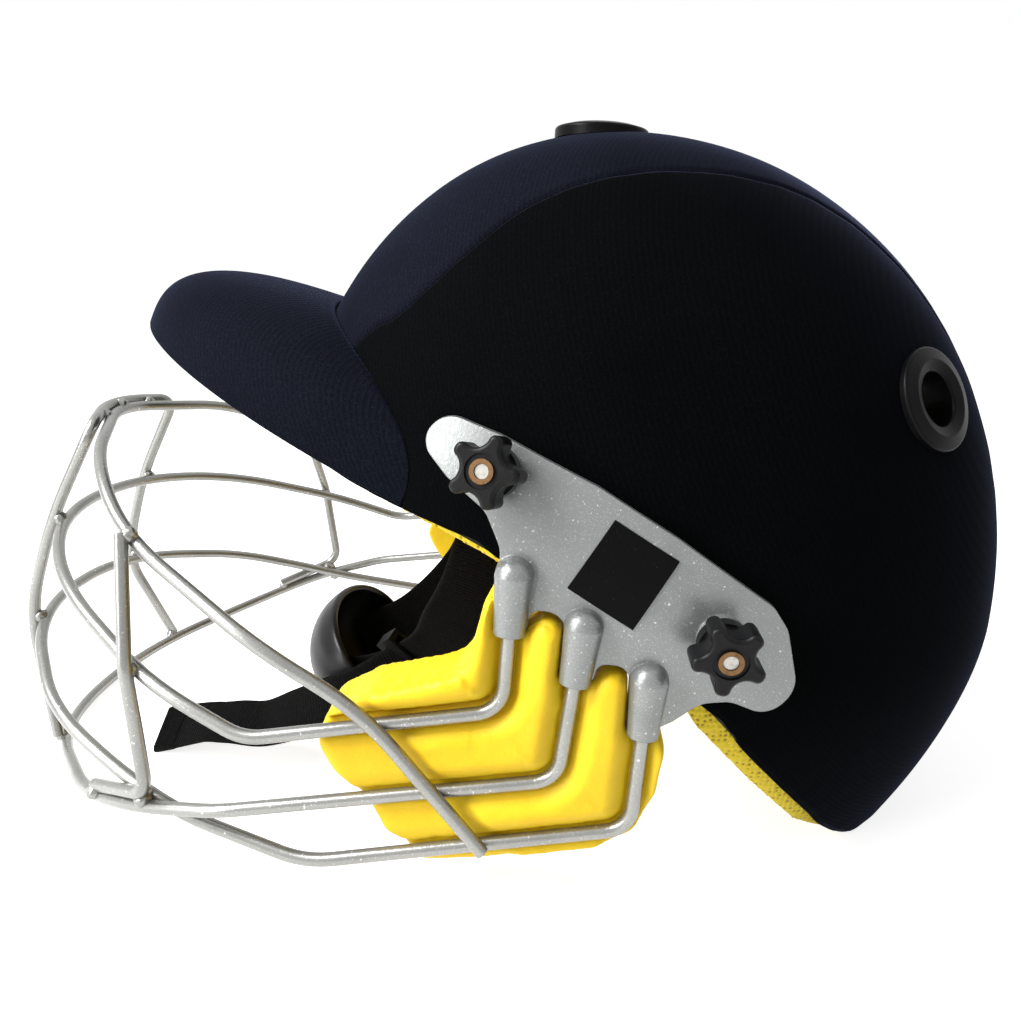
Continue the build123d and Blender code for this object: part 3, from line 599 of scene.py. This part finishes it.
def drawn_in(points, lengths, normal):
    """Cloth that dips into its seams and puckers a little beside them."""
    total = lengths[:, -1:]
    near = np.minimum(lengths, total - lengths)
    dip = seam_depth * np.exp(-(near / seam_reach) ** 2)
    row = np.arange(points.shape[0])[:, None]
    waves = np.sin(row * pucker_turn + pucker_sway * np.sin(row * sway_turn))
    pucker = pucker_height * np.exp(-near / pucker_reach) * waves
    slack = np.array([[noise.noise(Vector(p) / slack_size) for p in line] for line in points])
    lift = slack_height * slack * smooth_step(near, 3, 25)
    return points - normal * (dip - pucker - lift)[..., None]


def line_lengths(points):
    """Length from the start of each line of a grid."""
    steps = np.linalg.norm(np.diff(points, axis=1), axis=2)
    return np.concatenate([np.zeros((len(points), 1)), np.cumsum(steps, axis=1)], axis=1)


def hemmed(points, normal):
    """Adds the turned-under hem along the last column of a grid."""
    end, before = points[:, -1], points[:, -3]
    down = end - before
    down = down / np.linalg.norm(down, axis=1, keepdims=True).clip(1e-6, None)
    out = normal[:, -4]
    room = smooth_step(end[:, 2:3], 1.0, 8.0)
    extra = []
    for drop, depth in hem_steps:
        extra.append(end + down * drop * hem_drop * room - out * depth)
    return np.concatenate([points, np.stack(extra, axis=1)], axis=1)


def make_covers():
    """The two side panels and the middle panel of navy cloth."""
    rim = rim_line(rim_count)
    seam = seam_line(rim, seam_count)
    start = np.argmin(np.linalg.norm(rim - seam[0], axis=1))
    finish_at = np.argmin(np.linalg.norm(rim - seam[-1], axis=1))
    lower = even(rim[start:finish_at + 1], seam_count)
    side = between_on_head(seam, lower, eased(side_rows))
    normal = outward(side, grid_normals(side))
    side = drawn_in(side, line_lengths(side), normal)
    side = hemmed(side, normal)
    covers = []
    for name, flip in (("cover_left", 1.0), ("cover_right", -1.0)):
        grid = side * np.array([flip, 1, 1])
        piece = grid_object(f"{name}_cloth", grid, navy_painted_shade, "helmet", "navy_cloth", clear_of_openings)
        covers.append((piece, name, grid))
    right = seam * np.array([-1, 1, 1])
    crown = between_on_head(seam, right, eased(crown_rows))
    normal = outward(crown, grid_normals(crown))
    crown = drawn_in(crown, line_lengths(crown), normal)
    piece = grid_object("cover_crown_cloth", crown, navy_painted_light, "helmet", "navy_cloth", clear_of_openings)
    covers.append((piece, "cover_crown", crown))
    for piece, name, grid in covers:
        merged(piece)
        away_from(piece, head_centre)
        applied(piece, "SOLIDIFY", thickness=cloth_thickness * metre * 0.8, offset=-1)
        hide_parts(name)


def away_from(piece, point):
    """Turns an open skin's faces away from a datum point."""
    middle = Vector(to_row(point))
    work = bmesh.new()
    work.from_mesh(piece.data)
    votes = sum(1 if (f.calc_center_median() - middle).dot(f.normal) > 0 else -1 for f in work.faces)
    if votes < 0:
        bmesh.ops.reverse_faces(work, faces=work.faces)
    work.to_mesh(piece.data)
    work.free()


make_covers()


# Peak
def peak_point(azimuth, turn, grow):
    """A place on the peak's blunt dome."""
    share = np.cos(turn) ** (2 / peak_power)
    height = (peak_crown + grow) * np.sin(turn) ** (2 / peak_power)
    x = (peak_half_width + grow) * share * np.sin(azimuth)
    along = -(peak_length + grow) * share * np.cos(azimuth)
    back = np.array([0, np.cos(peak_tilt), -np.sin(peak_tilt)])
    up = np.array([0, np.sin(peak_tilt), np.cos(peak_tilt)])
    return (peak_root + x[..., None] * np.array([1.0, 0, 0]) + along[..., None] * back
            + height[..., None] * up)


def widest_azimuth(grow):
    """The azimuth at which the peak's edge meets the head form."""
    def inside(turn):
        return outside_head(peak_point(np.array(turn), np.array(0.0), grow), peak_clearance) <= 0

    return float(border(inside, 0.2, np.pi / 2, 40))


def peak_grid(grow, columns, rows, limit):
    """Lines from the peak's edge up to where each meets the head form."""
    side = np.sin(np.linspace(-np.pi / 2, np.pi / 2, columns)) * limit
    last = border(lambda turn: outside_head(peak_point(side, turn, grow), peak_clearance) <= 0,
                  np.zeros(columns), np.full(columns, np.pi / 2 - 0.001), 40)
    turns = last[:, None] * (np.linspace(0, 1, rows) ** 1.15)[None, :]
    return peak_point(np.repeat(side[:, None], rows, axis=1), turns, grow)


def make_peak():
    """The peak's cloth top with its rolled edge, and its lining."""
    limit = widest_azimuth(0.0) - edge_margin
    up = np.array([0, np.sin(peak_tilt), np.cos(peak_tilt)])
    top = peak_grid(0.0, peak_columns, peak_top_rows, limit)
    under = peak_grid(-peak_wall, peak_columns, peak_under_rows, limit)
    edge, inner = top[:, 0], under[:, 0]
    middle, reach = (edge + inner) / 2, (edge - inner) / 2
    turns = np.linspace(0, np.pi, 9)[1:-1]
    roll = np.stack([middle - np.cos(turn) * reach - up * roll_drop * np.sin(turn) for turn in turns], axis=1)
    normal = grid_normals(top)
    away = ((top - (peak_root - up * 60)) * normal).sum(-1, keepdims=True) < 0
    normal = np.where(away, -normal, normal)
    lengths = line_lengths(top)
    left = lengths[:, -1:] - lengths
    slack = np.array([[noise.noise(Vector(p) / 30.0) for p in line] for line in top])
    lift = 0.25 * slack * smooth_step(left, 2, 20) - 0.6 * np.exp(-left ** 2)
    top = top + normal * lift[..., None]
    lip = np.concatenate([roll, top], axis=1)
    piece = grid_object("peak_top_cloth", lip, navy_painted_light, "helmet", "navy_cloth")
    merged(piece)
    away_from(piece, peak_root - up * 20)
    applied(piece, "SOLIDIFY", thickness=peak_cloth * metre, offset=-1)
    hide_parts("peak_cover_top")
    lining = grid_object("peak_lining_cloth", under, navy_painted_light, "helmet", "navy_cloth")
    merged(lining)
    away_from(lining, peak_root - up * 20)
    applied(lining, "SOLIDIFY", thickness=peak_cloth * metre, offset=1)
    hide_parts("peak_cover_under")


make_peak()


# Foam and pads
def node_copy(name, new_name, material, body):
    """A free copy of a frame node's mesh."""
    mesh = nodes[name].data.copy()
    mesh.materials.clear()
    mesh.materials.append(material)
    return placed(new_name, mesh, body)


def points_of(piece):
    """A piece's points as datum millimetres."""
    co = np.empty(len(piece.data.vertices) * 3)
    piece.data.vertices.foreach_get("co", co)
    return co.reshape(-1, 3) / metre + np.array([0, middle_y, 0])


def set_points(piece, points):
    """Writes datum millimetres back to a piece."""
    piece.data.vertices.foreach_set("co", to_row(points).ravel())
    piece.data.update()


def normals_of(piece):
    """A piece's point normals."""
    out = np.empty(len(piece.data.vertices) * 3)
    piece.data.vertex_normals.foreach_get("vector", out)
    return out.reshape(-1, 3)


guard_rods = ("grille_upper_bar", "grille_lower_bar", "grille_middle_bar")
rod_radius = 2.0
under_rod = -2.15
beside_rod = -0.9
pillow_height = 2.6
groove_floor = 0.5
groove_reach = 0.9
pillow_reach = 6.0
step_reach = 6.0
guard_edge = 4.2
edge_drop = 3.0
guard_voxel = 0.9
lump_size, dimple_size, lump_height = 17.0, 6.0, 0.28
crumb_size, crumb_height = 1.5, 0.45


def tree_of(points):
    """A search tree of points."""
    tree = kdtree.KDTree(len(points))
    for i, point in enumerate(points):
        tree.insert(point, i)
    tree.balance()
    return tree


def side_tree(points):
    """A search tree of points as the side view shows them."""
    return tree_of([(0.0, y, z) for _, y, z in points])


def left_points(name, low=60.0):
    """Points about 1 mm apart along the edges of a node's left half."""
    corners = points_of(nodes[name])
    edges = np.empty(len(nodes[name].data.edges) * 2, int)
    nodes[name].data.edges.foreach_get("vertices", edges)
    starts, ends = corners[edges[::2]], corners[edges[1::2]]
    steps = np.ceil(np.linalg.norm(ends - starts, axis=1)).astype(int) + 1
    points = np.vstack([np.linspace(a, b, n) for a, b, n in zip(starts, ends, steps)])
    return points[points[:, 0] > low]


def nearest_rods(points):
    """The rods' level beside each point, blended by nearness, and the way to the nearest rod."""
    levels, ways = [], []
    low, high = points.min(axis=0) - 12, points.max(axis=0) + 12
    for name in guard_rods:
        rod = left_points(name)
        rod = rod[((rod[:, 1:] > low[1:]) & (rod[:, 1:] < high[1:])).all(axis=1)]
        tree = side_tree(rod)
        round_each = [tree.find_range((0.0, y, z), rod_radius) for _, y, z in rod]
        middle = [np.mean([rod[i][0] for _, i, _ in close]) for close in round_each]
        found = [tree.find((0.0, y, z)) for _, y, z in points]
        levels.append([middle[i] for _, i, _ in found])
        ways.append([way for _, _, way in found])
    levels, ways = np.array(levels), np.array(ways)
    weights = 1 / (ways + 0.6) ** 3
    return (levels * weights).sum(0) / weights.sum(0), ways.min(0)


def behind_top_bar(points):
    """How far each point lies behind the top bar, which runs down over the guard."""
    bar = left_points("grille_top_bar", 80.0)
    low, high = points.min(axis=0), points.max(axis=0)
    near = bar[(bar[:, 1] > low[1]) & (bar[:, 1] < high[1]) & (bar[:, 2] > low[2]) & (bar[:, 2] < high[2])]
    middle = near[:, 1:].mean(axis=0)
    along = np.linalg.svd(near[:, 1:] - middle, full_matrices=False)[2][0]
    across = np.array([abs(along[1]), -along[0] * np.sign(along[1])])
    return (points[:, 1:] - middle) @ across


def guard_level(points, edge_tree):
    """The outer face's place (grooves for the rods, pillows between, a round edge) and the way to a rod."""
    level, way = nearest_rods(points)
    rise = np.sin(np.pi / 2 * ((way - groove_reach) / pillow_reach).clip(0, 1)) ** 1.2
    block = 0.25 + 0.75 * smooth_step(behind_top_bar(points), 1.0, step_reach)
    profile = beside_rod + (pillow_height - beside_rod) * rise * block
    groove = under_rod + (beside_rod - under_rod) * smooth_step(way, groove_floor, groove_reach)
    profile = np.where(way < groove_reach, groove, profile)
    edge = np.array([edge_tree.find((0.0, y, z))[2] for _, y, z in points])
    drop = edge_drop * (1 - np.sqrt(1 - (1 - (edge / guard_edge).clip(0, 1)) ** 2))
    return level + profile - drop, way


def make_guards():
    """The moulded foam guards: grooves under the rods and soft pillows between them."""
    piece = node_copy("chin_guard_left", "chin_guard_left_foam", yellow_foam, "grille")
    applied(piece, "REMESH", mode="VOXEL", voxel_size=guard_voxel * metre)
    applied(piece, "SMOOTH", factor=0.6, iterations=3)
    points, normal = points_of(piece), normals_of(piece)
    outer = smooth_step(normal[:, 0], 0.2, 0.75)
    walls = points[(np.abs(normal[:, 0]) < 0.35) & (points[:, 0] > points[:, 0].mean() - 3)]
    level, way = guard_level(points, side_tree(walls))
    moved = points.copy()
    moved[:, 0] += outer * (level - points[:, 0])
    moved[:, 0] = np.minimum(moved[:, 0], level)
    dimples = np.array([noise.noise(Vector(p) / dimple_size) for p in points])
    lumps = np.array([noise.noise(Vector(p) / lump_size) for p in points]) + 0.4 * dimples
    crumbs = np.array([noise.noise(Vector(p) / crumb_size) for p in points])
    cut_edge = smooth_step(normal[:, 2], 0.3, 0.8) * smooth_step(way, 3.0, 5.0)
    moved += normal * (lump_height * lumps + crumb_height * crumbs * cut_edge)[:, None]
    set_points(piece, moved)
    applied(piece, "SMOOTH", factor=0.5, iterations=2)
    mirror_guard(piece)
    for side in ("left", "right"):
        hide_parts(f"chin_guard_{side}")


def mirror_guard(piece):
    """The right guard, the left one's mirror image."""
    other = placed("chin_guard_right_foam", piece.data.copy(), "grille")
    set_points(other, points_of(other) * np.array([-1.0, 1.0, 1.0]))
    other.data.flip_normals()


make_guards()

liner_hang = 5.0
hang_depths, hang_heights, hang_places = (-10.0, -1.0), (3.0, 24.0), (62.0, 84.0)
liner_voxel = 2.0
pad_voxel = 2.6
pad_depth = 8.0
pad_swell = 2.0
pad_top = -13.75


def below_rim(points):
    """How far each point lies below the rim in the side view, and the way down there."""
    side = curve_through(rim_points, 400)
    along = np.gradient(side, axis=0)
    down = np.stack([along[:, 1], -along[:, 0]], axis=1) / np.linalg.norm(along, axis=1, keepdims=True)
    tree = side_tree([(0.0, y, z) for y, z in side])
    near = [tree.find((0.0, y, z))[1] for _, y, z in points]
    return ((points[:, 1:] - side[near]) * down[near]).sum(axis=1), down[near]


def make_liner():
    """The foam liner: a thick moulded skin whose rear edge hangs below the shell's rim."""
    piece = node_copy("foam_liner", "foam_liner_skin", mesh_yellow, "helmet")
    applied(piece, "REMESH", mode="VOXEL", voxel_size=liner_voxel * metre)
    applied(piece, "SMOOTH", factor=0.5, iterations=3)
    points = points_of(piece)
    depth, down = below_rim(points)
    share = smooth_step(depth, *hang_depths) * smooth_step(points[:, 2], *hang_heights)
    share = share * smooth_step(points[:, 1], *hang_places)
    points[:, 1:] += down * (liner_hang * share)[:, None]
    set_points(piece, points)
    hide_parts("foam_liner")


make_liner()


def swollen(piece, cap, frames=20):
    """Lets a pad fill out under pressure, and caps how far each point moves."""
    start = points_of(piece)
    cloth = piece.modifiers.new("cloth", "CLOTH")
    cloth.settings.use_pressure = True
    cloth.settings.uniform_pressure_force = 4.0
    cloth.settings.effector_weights.gravity = 0.0
    cloth.settings.mass = 0.3
    scene = bpy.context.scene
    cloth.point_cache.frame_start = 1
    cloth.point_cache.frame_end = frames
    for step in range(1, frames + 1):
        scene.frame_set(step)
    depsgraph = bpy.context.evaluated_depsgraph_get()
    mesh = bpy.data.meshes.new_from_object(piece.evaluated_get(depsgraph))
    co = np.empty(len(mesh.vertices) * 3)
    mesh.vertices.foreach_get("co", co)
    moved = co.reshape(-1, 3) / metre + np.array([0, middle_y, 0])
    piece.modifiers.remove(cloth)
    bpy.data.meshes.remove(mesh)
    scene.frame_set(1)
    shift = moved - start
    size = np.linalg.norm(shift, axis=1, keepdims=True).clip(1e-9, None)
    set_points(piece, start + shift * np.minimum(1, cap / size))


def make_pads():
    """Comfort pads: soft mesh cloth over foam."""
    for name in ("brow_pad", "crown_pad", "nape_pad", "side_pad_left", "side_pad_right"):
        piece = node_copy(name, f"{name}_cloth", mesh_yellow, "helmet")
        applied(piece, "REMESH", mode="VOXEL", voxel_size=pad_voxel * metre)
        applied(piece, "SMOOTH", factor=0.6, iterations=6)
        swollen(piece, pad_swell)
        points = points_of(piece)
        rays = points - head_centre
        reach = np.linalg.norm(rays, axis=1)
        outer = np.linalg.norm(on_head(rays, pad_top) - head_centre, axis=1)
        inner = np.linalg.norm(on_head(rays, pad_top - pad_depth) - head_centre, axis=1)
        points = head_centre + rays / reach[:, None] * np.clip(reach, inner, outer)[:, None]
        set_points(piece, points)
        applied(piece, "SUBSURF", levels=1, render_levels=1)
        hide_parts(name)


make_pads()

# Straps
strap_stations = ((71.0, 12.0, 116.0), (69.2, 5.1, 91.9), (58.2, -2.6, 73.9), (44.0, -10.4, 55.8),
                  (28.4, -29.3, 36.9), (19.9, -52.9, 25.3))
strap_across = ((0.0, -0.96, 0.28), (0.05, -0.93, 0.35), (0.1, -0.88, 0.45), (0.1, -0.80, 0.6),
                (0.0, -0.70, 0.70), (0.0, -0.70, 0.70))
tail_stations = ((39.6, -21.0, 44.7), (46.9, -38.2, 35.3), (47.2, -50.0, 30.5), (45.4, -62.4, 24.1),
                 (42.2, -76.0, 17.2), (40.5, -88.7, 15.5), (38.4, -101.0, 12.6), (34.8, -121.0, 5.2))
tail_across = ((0.05, 0.75, -0.65), (0.8, 0.3, -0.5), (0.9, 0.12, -0.4), (0.93, 0.0, -0.35),
               (0.95, 0.05, -0.30), (0.93, 0.1, -0.33), (0.9, 0.25, -0.35), (0.85, 0.42, -0.3))
strap_width = 20.0
strap_thickness = 1.5
rib_pitch = 1.15
rib_steps = 4
rib_height = 0.20
selvedge_depth = 0.12
folded_length, fold_swell = 11.0, 1.1


def ribbon(name, stations, across, body, fold_end=False):
    """Grosgrain webbing along stations: ribs across it, a selvedge on each side."""
    rough = curve_through(stations, 200)
    length = np.linalg.norm(np.diff(rough, axis=0), axis=1).sum()
    count = int(length / rib_pitch * rib_steps)
    line = curve_through(stations, count)
    spread = curve_through(across, count)
    along = np.gradient(line, axis=0)
    along = along / np.linalg.norm(along, axis=1, keepdims=True)
    spread = spread - along * (along * spread).sum(1, keepdims=True)
    spread = spread / np.linalg.norm(spread, axis=1, keepdims=True)
    normal = np.cross(along, spread)
    ring = []
    half_ring = np.r_[-1.0, np.linspace(-0.985, 0.985, 30), 1.0]
    for side, flats in ((1.0, half_ring), (-1.0, half_ring[::-1])):
        for flat in flats:
            edge = np.sqrt(max(0.0, 1 - abs(flat) ** 24))
            selvedge = selvedge_depth * float(abs(flat) > 0.90)
            ring.append((flat * strap_width / 2, side * (strap_thickness / 2 * edge - selvedge * edge)))
    wide = np.array([p[0] for p in ring])[None, :]
    high = np.array([p[1] for p in ring])[None, :]
    place = np.linspace(0, length, count)[:, None]
    rib = 1 + rib_height * np.cos(2 * np.pi * place / rib_pitch) * (np.abs(wide) < 0.92 * strap_width / 2)
    tip = np.ones_like(place)
    if fold_end:
        tip = 1 + fold_swell * smooth_step(place, length - folded_length, length - folded_length + 2.0)
    grid = (line[:, None, :] + spread[:, None, :] * wide[..., None]
            + normal[:, None, :] * (high * rib * tip)[..., None])
    columns = len(ring)
    faces = grid_faces(count, columns, closed_columns=True)
    faces.append(tuple(range(columns - 1, -1, -1)))
    faces.append(tuple((count - 1) * columns + k for k in range(columns)))
    piece = new_object(name, to_row(grid.reshape(-1, 3)), faces, web_black, body)
    return merged(piece, 0.000005), float(length * metre)


def make_straps():
    """Both chin straps and the loose tail with its folded end."""
    for side, flip in (("left", 1.0), ("right", -1.0)):
        stations = [(x * flip, y, z) for x, y, z in strap_stations]
        across = [(x * flip, y, z) for x, y, z in strap_across]
        piece, length = ribbon(f"chin_strap_{side}_web", stations, across, "chin_straps")
        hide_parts(f"chin_strap_{side}")
    piece, length = ribbon("strap_tail_web", tail_stations, tail_across, "chin_straps", True)
    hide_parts("strap_tail")


make_straps()

# Chin cup
cup_place = np.array([0.0, -43.0, 35.0])
cup_tilt = np.radians(37.0)
cup_half = np.array([36.0, 25.0, 26.0])
cup_wall = 3.0
cup_columns = 144
cup_rows = 34
lip_radius = 1.9
lip_dip = 1.2
lip_rows = 12


def cup_to_datum(points):
    """The cup's own axes, mouth along +Z, to datum places."""
    up = np.array([0.0, np.cos(cup_tilt), np.sin(cup_tilt)])
    right = np.array([1.0, 0.0, 0.0])
    return (cup_place + points[..., 0:1] * right + points[..., 1:2] * np.cross(up, right)
            + points[..., 2:3] * up)


def make_cup():
    """A moulded cup: a thick lip that dips at the sides, and a smooth bowl."""
    around = np.linspace(0, 2 * np.pi, cup_columns, endpoint=False)
    turns = np.linspace(np.pi / 2 * 0.985, 0, cup_rows)
    dip = lip_dip * np.cos(2 * around)

    def ring(x, y, height):
        return np.stack([x * np.cos(around), y * np.sin(around), height], axis=1)

    def bowl_ring(half, turn):
        share = np.sin(np.pi / 2 - turn)
        return ring(half[0] * share, half[1] * share, half[2] * -np.sin(turn) + dip * share ** 4)

    rows = [bowl_ring(cup_half, turn) for turn in turns]
    for turn in np.linspace(0, np.pi, lip_rows)[1:-1]:
        middle = 1 - cup_wall / 2 / cup_half[:2]
        x, y = cup_half[:2] * middle + cup_wall / 2 * np.cos(turn)
        rows.append(ring(x, y, dip + lip_radius * np.sin(turn)))
    rows += [bowl_ring(cup_half - cup_wall, turn) for turn in turns[::-1]]
    grid = np.stack(rows, axis=0)
    piece = grid_object("chin_cup_bowl", cup_to_datum(grid), cup_black, "chin_straps", "cup_rubber",
                        closed_columns=True)
    merged(piece)
    holes = bmesh.new()
    holes.from_mesh(piece.data)
    bmesh.ops.holes_fill(holes, edges=[e for e in holes.edges if e.is_boundary], sides=0)
    bmesh.ops.recalc_face_normals(holes, faces=holes.faces)
    holes.to_mesh(piece.data)
    holes.free()
    shade_smooth(piece.data)
    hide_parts("chin_cup")


make_cup()

# Weld beads where the rods cross
weld_reach = 2.6
weld_lump_size, weld_lump_height = 1.6, 0.16
touching = 1.6
weld_spacing = 12.0


def crossing_places(first, second):
    """The middles of the places where two rods touch."""
    tree = tree_of(points_of(nodes[second]))
    near = []
    for point in points_of(nodes[first]):
        place, _, away = tree.find(point)
        if away < touching:
            near.append((away, (np.array(point) + np.array(place)) / 2))
    near.sort(key=lambda item: item[0])
    places = []
    for _, place in near:
        if all(np.linalg.norm(place - other) > weld_spacing for other in places):
            places.append(place)
    return places


def make_welds():
    """A small lumpy bead of weld metal round each crossing."""
    rods = [*guard_rods, "grille_top_bar", "grille_centre_loop", "grille_post_left", "grille_post_right"]
    work = bmesh.new()
    for i, first in enumerate(rods):
        for second in rods[i + 1:]:
            for place in crossing_places(first, second):
                made = bmesh.ops.create_icosphere(work, subdivisions=4, radius=weld_reach * metre)
                for vert in made["verts"]:
                    lump = noise.noise(vert.co / (weld_lump_size * metre) + Vector(place))
                    vert.co = vert.co * (1 + weld_lump_height * lump) + Vector(to_row(place))
    mesh = bpy.data.meshes.new("weld_beads")
    work.to_mesh(mesh)
    work.free()
    mesh.materials.append(rod_paint)
    shade_smooth(mesh)
    placed("weld_beads", mesh, "grille")


make_welds()

# Table and light
def direct_rays(tree, other, seen):
    """A strength for rays from the camera, a mirror or glass, and another one for all other rays."""
    path = node(tree, "ShaderNodeLightPath")
    out = path.outputs["Is Camera Ray"]
    for name in ("Is Glossy Ray", "Is Transmission Ray"):
        either = node(tree, "ShaderNodeMath", operation="MAXIMUM")
        tree.links.new(out, either.inputs[0])
        tree.links.new(path.outputs[name], either.inputs[1])
        out = either.outputs[0]
    level = node(tree, "ShaderNodeMapRange")
    level.inputs["To Min"].default_value = other
    level.inputs["To Max"].default_value = seen
    tree.links.new(out, level.inputs["Value"])
    return level.outputs["Result"]


world = bpy.data.worlds.new("soft_sky")
bpy.context.scene.world = world
world.use_nodes = True
world_tree = world.node_tree
background = world_tree.nodes["Background"]
background.inputs["Color"].default_value = (1, 1, 1, 1)
seen = direct_rays(world_tree, 0.34, 1.0)
world_tree.links.new(seen, background.inputs["Strength"])


def make_floor():
    """A plain pale floor that stays white to the camera but keeps the shadow."""
    finish = Finish("pale_floor", (0.80, 0.80, 0.80), Roughness=0.9, Specular_IOR_Level=0.0,
                    Emission_Color=(1, 1, 1, 1))
    finish.link(direct_rays(finish.tree, 0.0, 0.78), finish.shader.inputs["Emission Strength"])
    reach_m = 12.0
    mesh = bpy.data.meshes.new("floor")
    corners = [(-reach_m, -reach_m, 0), (reach_m, -reach_m, 0), (reach_m, reach_m, 0), (-reach_m, reach_m, 0)]
    mesh.from_pydata(corners, [], [(0, 1, 2, 3)])
    mesh.materials.append(finish.material)
    floor = bpy.data.objects.new("floor", mesh)
    collection.objects.link(floor)


make_floor()


def area_light(name, place, aim, size, power):
    """A soft square lamp that looks at a place."""
    data = bpy.data.lights.new(name, "AREA")
    data.shape = "RECTANGLE"
    data.size, data.size_y = size
    data.energy = power
    lamp = bpy.data.objects.new(name, data)
    lamp.location = place
    lamp.rotation_euler = (Vector(aim) - Vector(place)).to_track_quat("-Z", "Y").to_euler()
    collection.objects.link(lamp)


area_light("key_overhead", (0.35, -0.85, 0.95), (0, 0, 0.1), (0.6, 0.5), 24)
area_light("front_fill", (0.70, -0.90, 0.40), (0, -0.05, 0.1), (0.35, 0.5), 6)

# Camera: fitted to both sides of the grille in the photograph
camera_place = np.array([310.0, 29.7, 190.9])
camera_right = Vector((-0.0708, 0.996, 0.0539)).normalized()
camera_forward = Vector((-0.9565, -0.0524, -0.287)).normalized()
focal_pixels = 800.0
photo_width = 1021.0
camera_data = bpy.data.cameras.new("photo_camera")
camera_data.sensor_width = 36.0
camera_data.lens = focal_pixels / photo_width * camera_data.sensor_width
camera_data.clip_start = 0.005
camera = bpy.data.objects.new("photo_camera", camera_data)
camera_up = camera_right.cross(camera_forward)
axes = Matrix((camera_right, camera_up, -camera_forward)).transposed()
camera.matrix_world = Matrix.Translation(Vector(to_row(camera_place))) @ axes.to_4x4()
collection.objects.link(camera)
bpy.context.scene.camera = camera
bpy.context.scene.view_settings.view_transform = "Standard"
